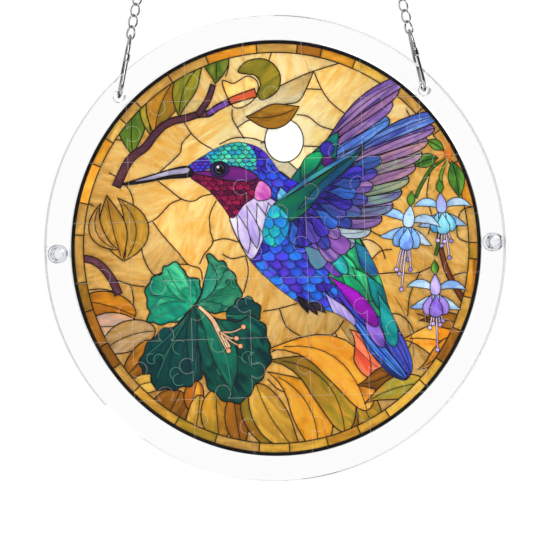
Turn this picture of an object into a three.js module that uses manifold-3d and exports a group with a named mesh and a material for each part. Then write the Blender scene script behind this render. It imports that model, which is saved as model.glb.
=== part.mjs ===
// A round suncatcher: a stained-glass style picture, cut as a jigsaw puzzle, lies in a clear acrylic
// ring between two clear acrylic discs. Two clear snap rivets hold the layers together, and two wire
// hangers carry them on two curb chains that meet in one ring.
// Millimetres and degrees, +Z up, the front towards -Y, the origin where a hook holds the top ring.

import * as THREE from "three";
import { mergeVertices } from "three/addons/utils/BufferGeometryUtils.js";
import Module from "manifold-3d";

// Clear layers
const discDiameter = 200;
const frontPlateThickness = 2;
const middleRingThickness = 3;
const backPlateThickness = 2;
const marginWidth = 10.4;
const layerGap = 0.15;
const discFacets = 48;

// Puzzle
const puzzleThickness = 2.8;
const puzzleClearance = 0.2;
const piecesAcross = 7;
const cutWidth = 0.3;
const knobRadius = 3.3;
const knobReach = 2.4;
const knobWander = 1.6;
const wanderPerCut = 2.3;
const wanderPerCell = 3.7;
const knobRoom = 3;
const knobFacets = 5;

// Snap rivets
const rivetHeadDiameter = 8;
const rivetHeadHeight = 1.5;
const rivetEdgeHeight = 0.7;
const rivetShankDiameter = 4;
const rivetDimpleDiameter = 4.4;
const rivetDimpleDepth = 0.4;
const rivetHoleClearance = 0.3;
const rivetGap = 0.1;
const rivetFacets = 8;
const rivetHoleFacets = 8;

// Wire hangers
const hangerHoleDiameter = 5;
const hangerHoleFacets = 12;
const hangerFacets = 12;
const hangerWireSides = 4;
const hangerHoleEdge = 3.5;
const hangerHoleAngle = 45;
const hangerWire = 1.3;
const hangerLength = 28;
const hangerSideClearance = 1.4;
const hangerTopWidth = 4.8;
const hangerSeatGap = 0.5;
const lapDiameter = 2.2;
const lapLength = 4;
const lapHeight = 17;
const lapFacets = 8;

// Curb chains
const chainWire = 0.8;
const linkLength = 6.5;
const linkWidth = 4.3;
const linksPerChain = 56;
const linkTouch = 0.1;
const linkPlay = 0.35;
const linkFacets = 4;
const linkWireSides = 3;

// Top ring
const topRingDiameter = 14;
const topRingWire = 1.6;
const topRingFacets = 12;
const topRingWireSides = 4;
const chainSpread = 2.6;

// Worked out from the sizes above
const stackThickness = frontPlateThickness + middleRingThickness + backPlateThickness + 2 * layerGap;
const stackFront = -stackThickness / 2;
const discRadius = discDiameter / 2;
const recessRadius = discRadius - marginWidth;
const puzzleRadius = recessRadius - puzzleClearance;
const piecePitch = (2 * puzzleRadius) / piecesAcross;
const rivetX = discRadius - marginWidth / 2;
const rivetHoleDiameter = rivetShankDiameter + 2 * rivetHoleClearance;
const hangerHoleReach = discRadius - hangerHoleEdge - hangerHoleDiameter / 2;
const hangerHoleX = hangerHoleReach * Math.sin(THREE.MathUtils.degToRad(hangerHoleAngle));
const hangerHoleRise = hangerHoleReach * Math.cos(THREE.MathUtils.degToRad(hangerHoleAngle));
const hangerWidth = stackThickness + 2 * (hangerSideClearance + hangerWire);

// The hanger's bow rests on the hole's two upper edges, so its lowest point lies below the hole's middle.
const bowInner = hangerWidth / 2 - hangerWire;
const bowRise = bowInner - Math.sqrt(bowInner ** 2 - (stackThickness / 2) ** 2);
const hangerDrop = bowRise + hangerWire / 2 - (hangerHoleDiameter / 2 - hangerSeatGap);

// Heights along the straight line from a hanger hole up to the top ring's wire
const linkPitch = linkLength - 2 * chainWire;
const linkBowWidth = (linkWidth - chainWire) * Math.SQRT2 + chainWire;
const hangerTop = hangerLength - hangerWire - hangerDrop;
const chainStart = hangerTop - (hangerWire + chainWire) / 2 - linkPlay;
const chainEnd = chainStart + linkLength - chainWire + (linksPerChain - 1) * linkPitch;
const lineLength = chainEnd - (topRingWire + chainWire) / 2 - linkPlay;

// Places in the part's frame
const topRingRadius = (topRingDiameter - topRingWire) / 2;
const topRingZ = topRingWire - topRingDiameter / 2;
const lineTopZ = topRingZ - Math.sqrt(topRingRadius ** 2 - chainSpread ** 2);
const lineRun = hangerHoleX - chainSpread;
const lineRise = Math.sqrt(lineLength ** 2 - lineRun ** 2);
const lineTilt = Math.atan2(lineRun, lineRise);
const hangerHoleZ = lineTopZ - lineRise;
const discZ = hangerHoleZ - hangerHoleRise;

const wasm = await Module();
wasm.setup();

// A closed geometry as a solid that can be joined and cut.
function toSolid(geometry) {
  const bare = geometry.clone();
  bare.deleteAttribute("normal");
  bare.deleteAttribute("uv");
  const merged = mergeVertices(bare);
  return new wasm.Manifold(
    new wasm.Mesh({
      numProp: 3,
      vertProperties: new Float32Array(merged.attributes.position.array),
      triVerts: new Uint32Array(merged.index.array),
    }),
  );
}

function toGeometry(solid) {
  const { vertProperties, triVerts } = solid.getMesh();
  const geometry = new THREE.BufferGeometry();
  geometry.setAttribute("position", new THREE.BufferAttribute(vertProperties, 3));
  geometry.setIndex(new THREE.BufferAttribute(triVerts, 1));
  geometry.computeVertexNormals();
  return geometry;
}

function circle(x, z, diameter, facets) {
  const points = [];
  const radius = diameter / 2;
  for (let k = 0; k < facets; k += 1) {
    const angle = (2 * Math.PI * k) / facets;
    points.push(new THREE.Vector2(x + radius * Math.cos(angle), z + radius * Math.sin(angle)));
  }
  return points;
}

// A flat outline in the disc's plane, given thickness from front backwards.
function slab(outline, holes, front, thickness) {
  const shape = new THREE.Shape(outline);
  shape.holes = holes.map((points) => new THREE.Path(points));
  const geometry = new THREE.ExtrudeGeometry(shape, { depth: thickness, bevelEnabled: false });
  return geometry.rotateX(Math.PI / 2).translate(0, front + thickness, 0);
}

// The hanger and rivet holes that run through all three clear layers.
function fixingHoles() {
  return [-1, 1].flatMap((side) => [
    circle(side * hangerHoleX, hangerHoleRise, hangerHoleDiameter, hangerHoleFacets),
    circle(side * rivetX, 0, rivetHoleDiameter, rivetHoleFacets),
  ]);
}

function plate(front, thickness) {
  return slab(circle(0, 0, discDiameter, discFacets), fixingHoles(), front, thickness);
}

function middleRing(front) {
  const recess = circle(0, 0, 2 * recessRadius, discFacets);
  const outline = circle(0, 0, discDiameter, discFacets);
  return slab(outline, [recess, ...fixingHoles()], front, middleRingThickness);
}

// The knob on a cut between two cells. line counts the cuts from the middle, cell counts the cells
// along the cut, and upright cuts take the other turn than level ones. at is the knob's place from the
// cell's middle, and tab is 1 where it points right or up, -1 where it points left or down.
function knobOn(line, cell, upright) {
  const offset = line * piecePitch;
  const halfCut = Math.sqrt(puzzleRadius ** 2 - offset ** 2);
  const low = Math.max((cell - 0.5) * piecePitch, -halfCut);
  const high = Math.min((cell + 0.5) * piecePitch, halfCut);
  const clipped = high - low < piecePitch - cutWidth;
  const wander = clipped ? 0 : knobWander * Math.sin(wanderPerCut * line + wanderPerCell * cell);
  const middle = (low + high) / 2 + wander;
  const reach = Math.hypot(Math.abs(offset) + knobReach + knobRadius, Math.abs(middle) + knobRadius);
  const inwards = puzzleRadius - reach < knobRoom;
  const alternate = (Math.round(line + 0.5) + cell + upright) % 2 ? 1 : -1;
  return { at: middle - cell * piecePitch, tab: inwards ? -Math.sign(offset) : alternate };
}

// One side of a piece from corner to corner: u runs along the side, v points out of the piece.
function sideOutline(knob) {
  const half = piecePitch / 2;
  const inset = cutWidth / 2;
  const points = [new THREE.Vector2(-half + inset, -inset)];
  if (!knob) return points;
  const centre = knob.tab * knobReach;
  const radius = knobRadius - knob.tab * inset;
  const neck = Math.sqrt(radius ** 2 - (centre + inset) ** 2);
  const opening = Math.acos(knobReach / knobRadius);
  points.push(new THREE.Vector2(knob.at - neck, -inset));
  for (let k = 1; k < knobFacets; k += 1) {
    const turn = opening + ((2 * Math.PI - 2 * opening) * k) / knobFacets;
    const u = knob.at - radius * Math.sin(turn);
    points.push(new THREE.Vector2(u, centre - knob.tab * radius * Math.cos(turn)));
  }
  points.push(new THREE.Vector2(knob.at + neck, -inset));
  return points;
}

function cellInside(column, row) {
  const nearest = Math.hypot(Math.max(Math.abs(column) - 0.5, 0), Math.max(Math.abs(row) - 0.5, 0));
  return nearest * piecePitch < puzzleRadius - knobRoom;
}

// A piece's four sides, counter-clockwise from the lower one, joined into one outline.
function pieceOutline(column, row) {
  const sides = [
    [0, -1],
    [1, 0],
    [0, 1],
    [-1, 0],
  ];
  return sides.flatMap(([x, z]) => {
    const meets = cellInside(column + x, row + z);
    const { at, tab } = x ? knobOn(column + x / 2, row, 1) : knobOn(row + z / 2, column, 0);
    const knob = { at: (x - z) * at, tab: (x + z) * tab };
    return sideOutline(meets ? knob : null).map(({ x: u, y: v }) => {
      const out = piecePitch / 2 + v;
      return new THREE.Vector2(column * piecePitch - u * z + out * x, row * piecePitch + u * x + out * z);
    });
  });
}

// A cell of the jigsaw, cut to the puzzle's round edge where it reaches past it.
function puzzlePiece(column, row) {
  const front = stackFront + frontPlateThickness + layerGap + (middleRingThickness - puzzleThickness) / 2;
  const piece = slab(pieceOutline(column, row), [], front, puzzleThickness);
  const farthest = Math.hypot(Math.abs(column) + 0.5, Math.abs(row) + 0.5) * piecePitch;
  if (farthest < puzzleRadius) return piece;
  const spare = 1;
  const edge = circle(0, 0, 2 * puzzleRadius, discFacets);
  const round = slab(edge, [], front - spare, puzzleThickness + 2 * spare);
  return toGeometry(toSolid(piece).intersect(toSolid(round)));
}

// A rivet's section from its axis at the back, round both heads, to its axis at the front.
function rivet() {
  const head = rivetHeadDiameter / 2;
  const shank = rivetShankDiameter / 2;
  const dimple = rivetDimpleDiameter / 2;
  const seat = stackThickness / 2 + rivetGap;
  const half = [
    [0, seat + rivetHeadHeight - rivetDimpleDepth],
    [dimple - rivetDimpleDepth, seat + rivetHeadHeight - rivetDimpleDepth],
    [dimple, seat + rivetHeadHeight],
    [head - rivetEdgeHeight, seat + rivetHeadHeight],
    [head, seat + rivetEdgeHeight],
    [head, seat],
    [shank, seat],
  ];
  const front = half.map(([radius, y]) => new THREE.Vector2(radius, -y));
  const back = half.map(([radius, y]) => new THREE.Vector2(radius, y)).reverse();
  return new THREE.LatheGeometry([...front, ...back], rivetFacets);
}

// How wide a loop's middle line still is, as a share of its lowest part, at a share of its height.
const narrowed = ({ width, topWidth = width, wire }, share) =>
  1 + share ** 2 * ((topWidth - wire) / (width - wire) - 1);

// A closed wire loop in the XZ plane, long along Z, its middle at the origin: a torus pulled apart to
// its length and width, narrowed towards topWidth, and turned about Z by the angles at its two ends.
function wireLoop(size) {
  const { width, length, wire, sides, facets, startAngle = 0, turns = [0, 0] } = size;
  const bow = (width - wire) / 2;
  const reach = (length - wire) / 2;
  const start = THREE.MathUtils.degToRad(startAngle);
  const loop = new THREE.TorusGeometry(bow, -wire / 2, sides, facets).rotateZ(start);
  const { position, normal } = loop.attributes;
  const vertex = new THREE.Vector3();
  const outward = new THREE.Vector3();
  const upright = new THREE.Matrix4().makeRotationX(Math.PI / 2);
  const up = new THREE.Vector3(0, 0, 1);
  const shortfall = bow * (1 - Math.cos(start));
  const mitre = 1 / Math.cos(Math.PI / facets);
  const nearMiddle = 1e-6;
  for (let k = 0; k < position.count; k += 1) {
    outward.fromBufferAttribute(normal, k);
    vertex.fromBufferAttribute(position, k).addScaledVector(outward, -wire / 2);
    outward.x *= mitre;
    outward.y *= mitre;
    outward.applyMatrix4(upright);
    vertex.applyMatrix4(upright);
    if (Math.abs(vertex.z) > nearMiddle) vertex.z += Math.sign(vertex.z) * (reach - bow + shortfall);
    vertex.x += Math.sign(vertex.x) * shortfall;
    const share = (vertex.z + reach) / (2 * reach);
    vertex.x *= narrowed(size, share);
    const turn = THREE.MathUtils.degToRad(THREE.MathUtils.lerp(...turns, share));
    vertex.applyAxisAngle(up, turn);
    outward.applyAxisAngle(up, turn);
    vertex.addScaledVector(outward, wire / 2);
    position.setXYZ(k, vertex.x, vertex.y, vertex.z);
  }
  return loop;
}

// A hanger stands front to back, with its wire's ends lapped beside each other on the front leg.
function hanger() {
  const size = { width: hangerWidth, topWidth: hangerTopWidth, length: hangerLength, wire: hangerWire };
  const loop = wireLoop({ ...size, sides: hangerWireSides, facets: hangerFacets });
  const reach = (hangerLength - hangerWire) / 2;
  const legX = (height) => ((hangerWidth - hangerWire) / 2) * narrowed(size, height / (2 * reach));
  const lean = Math.atan2(legX(lapHeight - lapLength / 2) - legX(lapHeight + lapLength / 2), lapLength);
  const lap = new THREE.CylinderGeometry(lapDiameter / 2, lapDiameter / 2, lapLength, lapFacets);
  lap.rotateX(Math.PI / 2).rotateY(-lean).translate(legX(lapHeight), 0, lapHeight - reach);
  const joined = toGeometry(toSolid(loop).add(toSolid(lap)));
  return joined.rotateZ(-Math.PI / 2).translate(0, 0, reach - hangerDrop);
}

// Links a pitch apart, each twisted a quarter turn along its length so that all of them face the
// front, and fused where one bow rests in the next. The end links meet hanger and ring squarely.
function chain() {
  const wire = chainWire + linkTouch;
  const shape = { sides: linkWireSides, facets: linkFacets, startAngle: 45 };
  const size = { width: linkBowWidth, length: linkLength, wire, ...shape };
  const reach = (linkLength - chainWire) / 2;
  const solids = [];
  for (let k = 0; k < linksPerChain; k += 1) {
    const low = k ? -45 : 0;
    const high = k < linksPerChain - 1 ? 45 : -90;
    const link = wireLoop({ ...size, turns: [low, high] });
    solids.push(toSolid(link.translate(0, 0, chainStart + reach + k * linkPitch)));
  }
  return toGeometry(wasm.Manifold.union(solids));
}

function topRing() {
  const size = { width: topRingDiameter, length: topRingDiameter, wire: topRingWire };
  const loop = wireLoop({ ...size, sides: topRingWireSides, facets: topRingFacets });
  return loop.translate(0, 0, topRingZ);
}

const finish = (color, roughness, metalness = 0) =>
  new THREE.MeshStandardMaterial({ color, roughness, metalness });
const clearFinish = () =>
  new THREE.MeshStandardMaterial({ color: 0xf2f5f8, roughness: 0.05, transparent: true, opacity: 0.25 });
const picture = { amber: 0xcf9436, blue: 0x3f4fa8, green: 0x1d6a55, leaf: 0x8a7a35, pale: 0xa3b8dc };

// The main colour of the picture under a piece, by column and row from the middle.
function pieceColour(column, row) {
  const areas = {
    blue: ["-1,1", "0,0", "1,0", "0,1", "1,1", "2,1", "2,2", "1,-1", "2,-2"],
    green: ["-1,-1", "-2,-1", "-1,-2", "-2,-2"],
    leaf: ["-1,3", "-2,2", "-1,2", "-2,0"],
    pale: ["3,1", "3,0", "2,0", "3,-1"],
  };
  return Object.keys(areas).find((name) => areas[name].includes(`${column},${row}`)) ?? "amber";
}

function named(name, geometry, material) {
  const mesh = new THREE.Mesh(geometry, material);
  mesh.name = name;
  return mesh;
}

const disc = new THREE.Group();
disc.position.z = discZ;
const ringFront = stackFront + frontPlateThickness + layerGap;
disc.add(named("front_plate", plate(stackFront, frontPlateThickness), clearFinish()));
disc.add(named("middle_ring", middleRing(ringFront), clearFinish()));
const backFront = ringFront + middleRingThickness + layerGap;
disc.add(named("back_plate", plate(backFront, backPlateThickness), clearFinish()));

const lastCell = (piecesAcross - 1) / 2;
for (let row = -lastCell; row <= lastCell; row += 1) {
  for (let column = -lastCell; column <= lastCell; column += 1) {
    if (!cellInside(column, row)) continue;
    const name = `puzzle_piece_r${lastCell - row + 1}_c${column + lastCell + 1}`;
    disc.add(named(name, puzzlePiece(column, row), finish(picture[pieceColour(column, row)], 0.2)));
  }
}

const suncatcher = new THREE.Group();
suncatcher.add(disc);
for (const [name, side] of [["left", -1], ["right", 1]]) {
  const rivetMesh = named(`${name}_rivet`, rivet(), clearFinish());
  rivetMesh.position.x = side * rivetX;
  disc.add(rivetMesh);

  const line = new THREE.Group();
  line.position.set(side * hangerHoleX, 0, hangerHoleZ);
  line.rotation.y = -side * lineTilt;
  line.add(named(`${name}_hanger`, hanger(), finish(0xc9ccd0, 0.18, 1)));
  line.add(named(`${name}_chain`, chain(), finish(0xbfc3c8, 0.22, 1)));
  suncatcher.add(line);
}
suncatcher.add(named("top_ring", topRing(), finish(0xc9ccd0, 0.18, 1)));

export default suncatcher;
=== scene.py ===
# The looks of a round puzzle suncatcher: a stained-glass style picture on jigsaw pieces, held between
# clear acrylic discs by two snap rivets, and hung by wire hangers and curb chains from one ring.
# Metres, +Z up, the front towards -Y. The picture is drawn in millimetres from the disc's middle.

import math
import random

import bpy
from mathutils import Matrix, Vector
from mathutils.geometry import delaunay_2d_cdt, tessellate_polygon


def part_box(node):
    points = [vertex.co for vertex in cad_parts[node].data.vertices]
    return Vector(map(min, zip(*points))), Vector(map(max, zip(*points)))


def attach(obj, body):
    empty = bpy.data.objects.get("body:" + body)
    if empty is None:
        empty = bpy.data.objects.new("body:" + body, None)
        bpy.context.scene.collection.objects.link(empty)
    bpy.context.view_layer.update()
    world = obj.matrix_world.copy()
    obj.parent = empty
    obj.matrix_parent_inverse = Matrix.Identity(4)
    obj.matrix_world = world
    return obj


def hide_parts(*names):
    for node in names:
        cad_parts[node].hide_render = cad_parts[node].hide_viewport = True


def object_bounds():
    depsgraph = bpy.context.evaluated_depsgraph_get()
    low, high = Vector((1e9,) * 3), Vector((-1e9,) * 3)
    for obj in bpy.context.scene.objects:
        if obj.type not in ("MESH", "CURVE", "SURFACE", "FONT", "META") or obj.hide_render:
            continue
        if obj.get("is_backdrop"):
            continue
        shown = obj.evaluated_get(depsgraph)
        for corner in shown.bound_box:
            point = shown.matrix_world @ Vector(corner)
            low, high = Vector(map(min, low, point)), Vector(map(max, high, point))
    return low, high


bl_info = {
    "name": "Puzzle Suncatcher",
    "version": (1, 0, 0),
    "blender": (4, 5, 0),
    "location": "View3D > Sidebar > Suncatcher",
    "description": "Builds a clear acrylic suncatcher with a stained-glass style puzzle and its chains",
    "category": "Add Mesh",
}

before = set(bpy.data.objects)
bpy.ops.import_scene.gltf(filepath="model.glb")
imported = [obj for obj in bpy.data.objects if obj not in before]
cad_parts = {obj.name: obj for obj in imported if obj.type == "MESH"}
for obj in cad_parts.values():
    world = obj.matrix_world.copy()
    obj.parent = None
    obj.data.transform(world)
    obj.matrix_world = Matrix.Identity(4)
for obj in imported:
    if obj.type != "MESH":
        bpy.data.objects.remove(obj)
CAD_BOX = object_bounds()
MM = 0.001
BODY = "root"


def middle(node):
    """The middle of a CAD node's box."""
    low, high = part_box(node)
    return (Vector(low) + Vector(high)) / 2


DISC = middle("front_plate")
DISC.y = 0.0

# Steps round each circle or along each wire
DISC_STEPS = 256
WIDE_HOLE_STEPS = 128
HOLE_STEPS = 40
RIVET_STEPS = 64
BOW_STEPS = 24
LEG_STEPS = 16
LAP_STEPS = 12
HANGER_SIDES = 16
LINK_STEPS = 28
LINK_SIDES = 10
RING_STEPS = 72
RING_SIDES = 18
FLOOR_STEPS = 96
KNOB_STEPS = 26
WIRE_CREASE = 50

# The lapped wire ends of a hanger: radius in millimetres, and how much of it is left at their tips
LAP_RADIUS = 1.08
LAP_TIP = 0.3


# Sizes and colours that a user may change


def length(name, description, default):
    """A length in millimetres, shown in the sidebar as a plain number."""
    return bpy.props.FloatProperty(name=name, description=description, default=default, min=0.0)


def colour(name, description, default):
    """A colour that is given as a web colour such as 0xcf9436."""
    parts = [((default >> shift) & 255) / 255 for shift in (16, 8, 0)]
    return bpy.props.FloatVectorProperty(
        name=name, description=description, default=parts, size=3, min=0.0, max=1.0, subtype="COLOR_GAMMA"
    )


class ClearSizes(bpy.types.PropertyGroup):
    """The three clear layers and the two snap rivets."""

    margin: length("Margin", "Width of the clear margin, mm", 10.4)
    chamfer: length("Chamfer", "Broken edge of the clear discs, mm", 0.18)
    hanger_hole: length("Hanger hole", "Diameter of a hanger hole, mm", 5.0)
    hanger_hole_edge: length("Hanger hole edge", "From a hanger hole to the rim, mm", 3.5)
    rivet_hole: length("Rivet hole", "Diameter of a rivet hole, mm", 4.6)
    rivet_head: length("Rivet head", "Diameter of a rivet's head, mm", 8.0)
    rivet_rise: length("Rivet rise", "Height of a rivet's head, mm", 1.5)
    rivet_shank: length("Rivet shank", "Diameter of a rivet's shank, mm", 4.0)
    rivet_dimple: length("Rivet dimple", "Diameter of the dimple in a rivet's head, mm", 4.4)
    tint: colour("Acrylic tint", "Colour of the clear acrylic", 0xFEFEFE)
    rivet_tint: colour("Rivet tint", "Colour of the clear rivets", 0xEDEFF2)


class PuzzleSizes(bpy.types.PropertyGroup):
    """The jigsaw cut of the picture."""

    across: bpy.props.IntProperty(name="Across", description="Pieces across the disc", default=7)
    cut: length("Cut", "Gap between two pieces, mm", 0.05)
    knob: length("Knob", "Radius of a knob, mm", 3.3)
    knob_reach: length("Knob reach", "From the cut to a knob's middle, mm", 2.4)
    knob_wander: length("Knob wander", "How far a knob leaves the middle of its side, mm", 1.6)
    knob_room: length("Knob room", "From a knob to the puzzle's rim, mm", 3.0)
    edge: colour("Cut edge", "Colour of the cut edges of the pieces", 0xE9E6DE)


class PictureSizes(bpy.types.PropertyGroup):
    """The stained-glass style picture."""

    lead: length("Lead line", "Width of the lead lines, mm", 0.52)
    fine_lead: length("Fine line", "Width of the lines between feathers and petals, mm", 0.38)
    rim: length("Rim", "Width of the black rim, mm", 1.35)
    band: length("Band", "Width of the border band, mm", 4.0)
    seed: bpy.props.IntProperty(name="Seed", description="Changes the tones of the panes", default=11)
    line_tone: colour("Line tone", "Colour of the lead lines", 0x1E0F0E)
    rim_tone: colour("Rim tone", "Colour of the black rim", 0x080607)


class WireSizes(bpy.types.PropertyGroup):
    """The hangers, the chains and the ring they hang from."""

    hanger_wire: length("Hanger wire", "Diameter of a hanger's wire, mm", 1.3)
    hanger_length: length("Hanger length", "Height of a hanger, mm", 28.0)
    hanger_top: length("Hanger top", "Width of a hanger at its top, mm", 4.8)
    hanger_gap: length("Hanger gap", "From the clear discs to a hanger's legs, mm", 1.4)
    hanger_seat: length("Hanger seat", "Play under a hanger in its hole, mm", 0.5)
    lap_height: length("Lap height", "Height of the lapped wire ends on a hanger, mm", 17.0)
    lap_length: length("Lap length", "Length of the lapped wire ends, mm", 4.0)
    chain_wire: length("Chain wire", "Diameter of the chain's wire, mm", 0.8)
    link_length: length("Link length", "Length of a link, mm", 6.5)
    link_width: length("Link width", "Width of a link, mm", 4.3)
    links: bpy.props.IntProperty(name="Links", description="Links in one chain", default=56)
    link_play: length("Link play", "Play between a chain's end and what it hangs on, mm", 0.35)
    spread: length("Chain spread", "From the ring's middle to a chain's last link, mm", 2.6)
    ring_wire: length("Ring wire", "Diameter of the top ring's wire, mm", 1.6)
    metal: colour("Metal", "Colour of the bright wire", 0xC2C4C9)


class StageSizes(bpy.types.PropertyGroup):
    """The floor, the light and the camera."""

    drop: length("Drop", "From the object down to the floor, mm", 250.0)
    radius: length("Radius", "Radius of the floor, mm", 1500.0)
    distance: length("Distance", "From the camera to the disc, mm", 2000.0)
    lens: length("Lens", "Focal length of the camera, mm", 304.3)
    below: length("Below", "How far below the disc's middle the camera aims, mm", 11.8)
    aside: length("Aside", "How far left of the disc's middle the camera aims, mm", 0.9)
    azimuth: bpy.props.FloatProperty(name="Azimuth", description="Turn of the camera, degrees", default=-9.8)
    roll: bpy.props.FloatProperty(name="Roll", description="Roll of the camera, degrees", default=1.65)
    floor: colour("Floor", "Colour of the floor", 0xF4F4F5)


# Materials


class Socket:
    """A node's output. Sums on it add Math nodes to the same material."""

    def __init__(self, finish, socket):
        self.finish = finish
        self.socket = socket

    def _math(self, operation, first, second):
        return self.finish.node("ShaderNodeMath", {"operation": operation}, {0: first, 1: second})

    def __add__(self, other):
        return self._math("ADD", self, other)

    def __radd__(self, other):
        return self._math("ADD", other, self)

    def __sub__(self, other):
        return self._math("SUBTRACT", self, other)

    def __rsub__(self, other):
        return self._math("SUBTRACT", other, self)

    def __mul__(self, other):
        return self._math("MULTIPLY", self, other)

    def __rmul__(self, other):
        return self._math("MULTIPLY", other, self)

    def __gt__(self, other):
        return self._math("GREATER_THAN", self, other)


class Finish:
    """A material, or the world round the object, that is built node by node."""

    def __init__(self, name, kind="materials"):
        self.made = getattr(bpy.data, kind).new(name)
        self.made.use_nodes = True
        self.made.node_tree.nodes.clear()

    def node(self, kind, settings=None, inputs=None, output=0):
        """Adds a node: its settings first, then the values or links of its inputs."""
        made = self.made.node_tree.nodes.new(kind)
        for name, value in (settings or {}).items():
            if name == "stops":
                for place, tone in value[2:]:
                    made.color_ramp.elements.new(place).color = tone
                for element, (place, tone) in zip(made.color_ramp.elements, value[:2]):
                    element.position = place
                    element.color = tone
            else:
                setattr(made, name, value)
        for name, value in (inputs or {}).items():
            if isinstance(value, Socket):
                self.made.node_tree.links.new(value.socket, made.inputs[name])
            else:
                made.inputs[name].default_value = value
        return Socket(self, made.outputs[output]) if made.outputs else None

    def attribute(self, name, output):
        return self.node("ShaderNodeAttribute", {"attribute_name": name}, output=output)

    def noise(self, vector, scale, detail=2.0, distortion=0.0):
        inputs = {"Vector": vector, "Scale": scale, "Detail": detail, "Distortion": distortion}
        return self.node("ShaderNodeTexNoise", {}, inputs)

    def place(self):
        return self.node("ShaderNodeTexCoord", output="Object")

    def blend(self, share, first, second):
        """Mixes two colours."""
        inputs = {0: share, 6: first, 7: second}
        return self.node("ShaderNodeMix", {"data_type": "RGBA"}, inputs, output=2)

    def surface(self, **values):
        """Closes the material with one Principled shader."""
        inputs = {name.replace("_", " "): value for name, value in values.items()}
        shader = self.node("ShaderNodeBsdfPrincipled", {}, inputs)
        self.node("ShaderNodeOutputMaterial", {}, {"Surface": shader})
        return self.made


def linear(tone):
    """A web colour, or three display values, as linear light."""
    if isinstance(tone, int):
        tone = [((tone >> shift) & 255) / 255 for shift in (16, 8, 0)]
    return tuple(c / 12.92 if c <= 0.04045 else ((c + 0.055) / 1.055) ** 2.4 for c in tone)


def flat(tone):
    return (*linear(tone), 1.0)


def clear_acrylic(name, tint, roughness):
    """Clear cast acrylic with polished edges."""
    finish = Finish(name)
    return finish.surface(
        Base_Color=flat(tint),
        Roughness=roughness,
        IOR=1.49,
        Transmission_Weight=1.0,
        Specular_Tint=(0.1, 0.1, 0.1, 1.0),
    )


def printed_acrylic():
    """The picture's print: two tones of streaky glass in each pane, plain lead lines between them. The print
    also has a faint painted glow, as if lit from behind.
    """
    finish = Finish("printed_acrylic")
    first = finish.attribute("picture", "Color")
    second = finish.attribute("picture_second", "Color")
    streak = finish.attribute("streak", "Vector")
    parts = finish.node("ShaderNodeSeparateXYZ", {}, {"Vector": streak}, output="Z")
    glass = parts > 0.5
    wisps = finish.noise(streak, 1.0, 4.0, 0.9)
    ramp = {"stops": [(0.38, (0, 0, 0, 1)), (0.63, (1, 1, 1, 1))]}
    share = finish.node("ShaderNodeValToRGB", ramp, {"Fac": wisps})
    tone = finish.blend(share, first, second)
    grain = finish.noise(streak, 3.2, 3.0, 0.4)
    level = 1.0 + (grain - 0.5) * glass * 0.6
    shaded = finish.node("ShaderNodeVectorMath", {"operation": "MULTIPLY"}, {0: tone, 1: level})
    ink = finish.noise(finish.place(), 2600.0)
    relief = finish.node("ShaderNodeBump", {}, {"Strength": 0.05, "Distance": 0.0001, "Height": ink})
    return finish.surface(
        Base_Color=shaded,
        Roughness=0.26 + grain * 0.1,
        Specular_IOR_Level=0.12,
        # Painted glow: the print glows faintly in its own colours. It stands in for daylight through the
        # disc and for the light that the clear discs take away.
        Emission_Color=shaded,
        Emission_Strength=0.3,
        Normal=relief,
    )


def bright_wire(name, tint, roughness):
    """Drawn wire with a bright plating, a little duller in patches."""
    finish = Finish(name)
    place = finish.place()
    patches = finish.noise(place, 420.0, 3.0)
    scuffs = finish.noise(place, 3800.0, 2.0)
    tone = finish.blend(patches, flat(tint), flat([c * 0.86 for c in tint]))
    relief = finish.node("ShaderNodeBump", {}, {"Strength": 0.12, "Distance": 0.00005, "Height": scuffs})
    return finish.surface(
        Base_Color=tone,
        Metallic=1.0,
        Roughness=roughness + patches * 0.08,
        Normal=relief,
    )


def studio_floor(tint):
    """A matt pale floor with a faint mottle."""
    finish = Finish("studio_floor")
    mottle = finish.noise(finish.place(), 9.0, 4.0)
    tone = finish.blend(mottle, flat(tint), flat([c * 0.97 for c in tint]))
    return finish.surface(Base_Color=tone, Roughness=0.8)


def studio_light():
    """A white room with a dark front wall, which shows only in the wires and in polished edges."""
    room = Finish("studio_light", "worlds")
    glossy = room.node("ShaderNodeLightPath", output="Is Glossy Ray")
    through = room.node("ShaderNodeLightPath", output="Is Transmission Ray")
    mirrored = glossy > through
    towards = room.node("ShaderNodeTexCoord", output="Generated")
    depth = room.node("ShaderNodeSeparateXYZ", {}, {"Vector": towards}, output="Y")
    wall = {"From Min": -0.8, "From Max": 0.25, "To Min": 0.0, "To Max": 0.9}
    shade = room.node("ShaderNodeMapRange", {}, {"Value": depth, **wall})
    strength = 1.0 - mirrored * (1.0 - shade)
    light = room.node("ShaderNodeBackground", {}, {"Color": (1.0, 1.0, 1.0, 1.0), "Strength": strength})
    room.node("ShaderNodeOutputWorld", {}, {"Surface": light})
    return room.made


# Meshes


def add_mesh(name, points, faces, material, crease=30.0):
    """A mesh object at the origin, smooth but for edges that turn more than the crease."""
    mesh = bpy.data.meshes.new(name)
    mesh.from_pydata(points, [], faces)
    mesh.polygons.foreach_set("use_smooth", [True] * len(faces))
    mesh.set_sharp_from_angle(angle=math.radians(crease))
    mesh.materials.append(material)
    mesh.update()
    made = bpy.data.objects.new(name, mesh)
    bpy.context.scene.collection.objects.link(made)
    return made


def stand_for(made, node):
    """Lets a piece ride on the body in place of a CAD node."""
    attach(made, BODY)
    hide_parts(node)


def round_loop(x, z, radius, steps):
    turns = [2 * math.pi * k / steps for k in range(steps)]
    return [(x + radius * math.cos(turn), z + radius * math.sin(turn)) for turn in turns]


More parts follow.
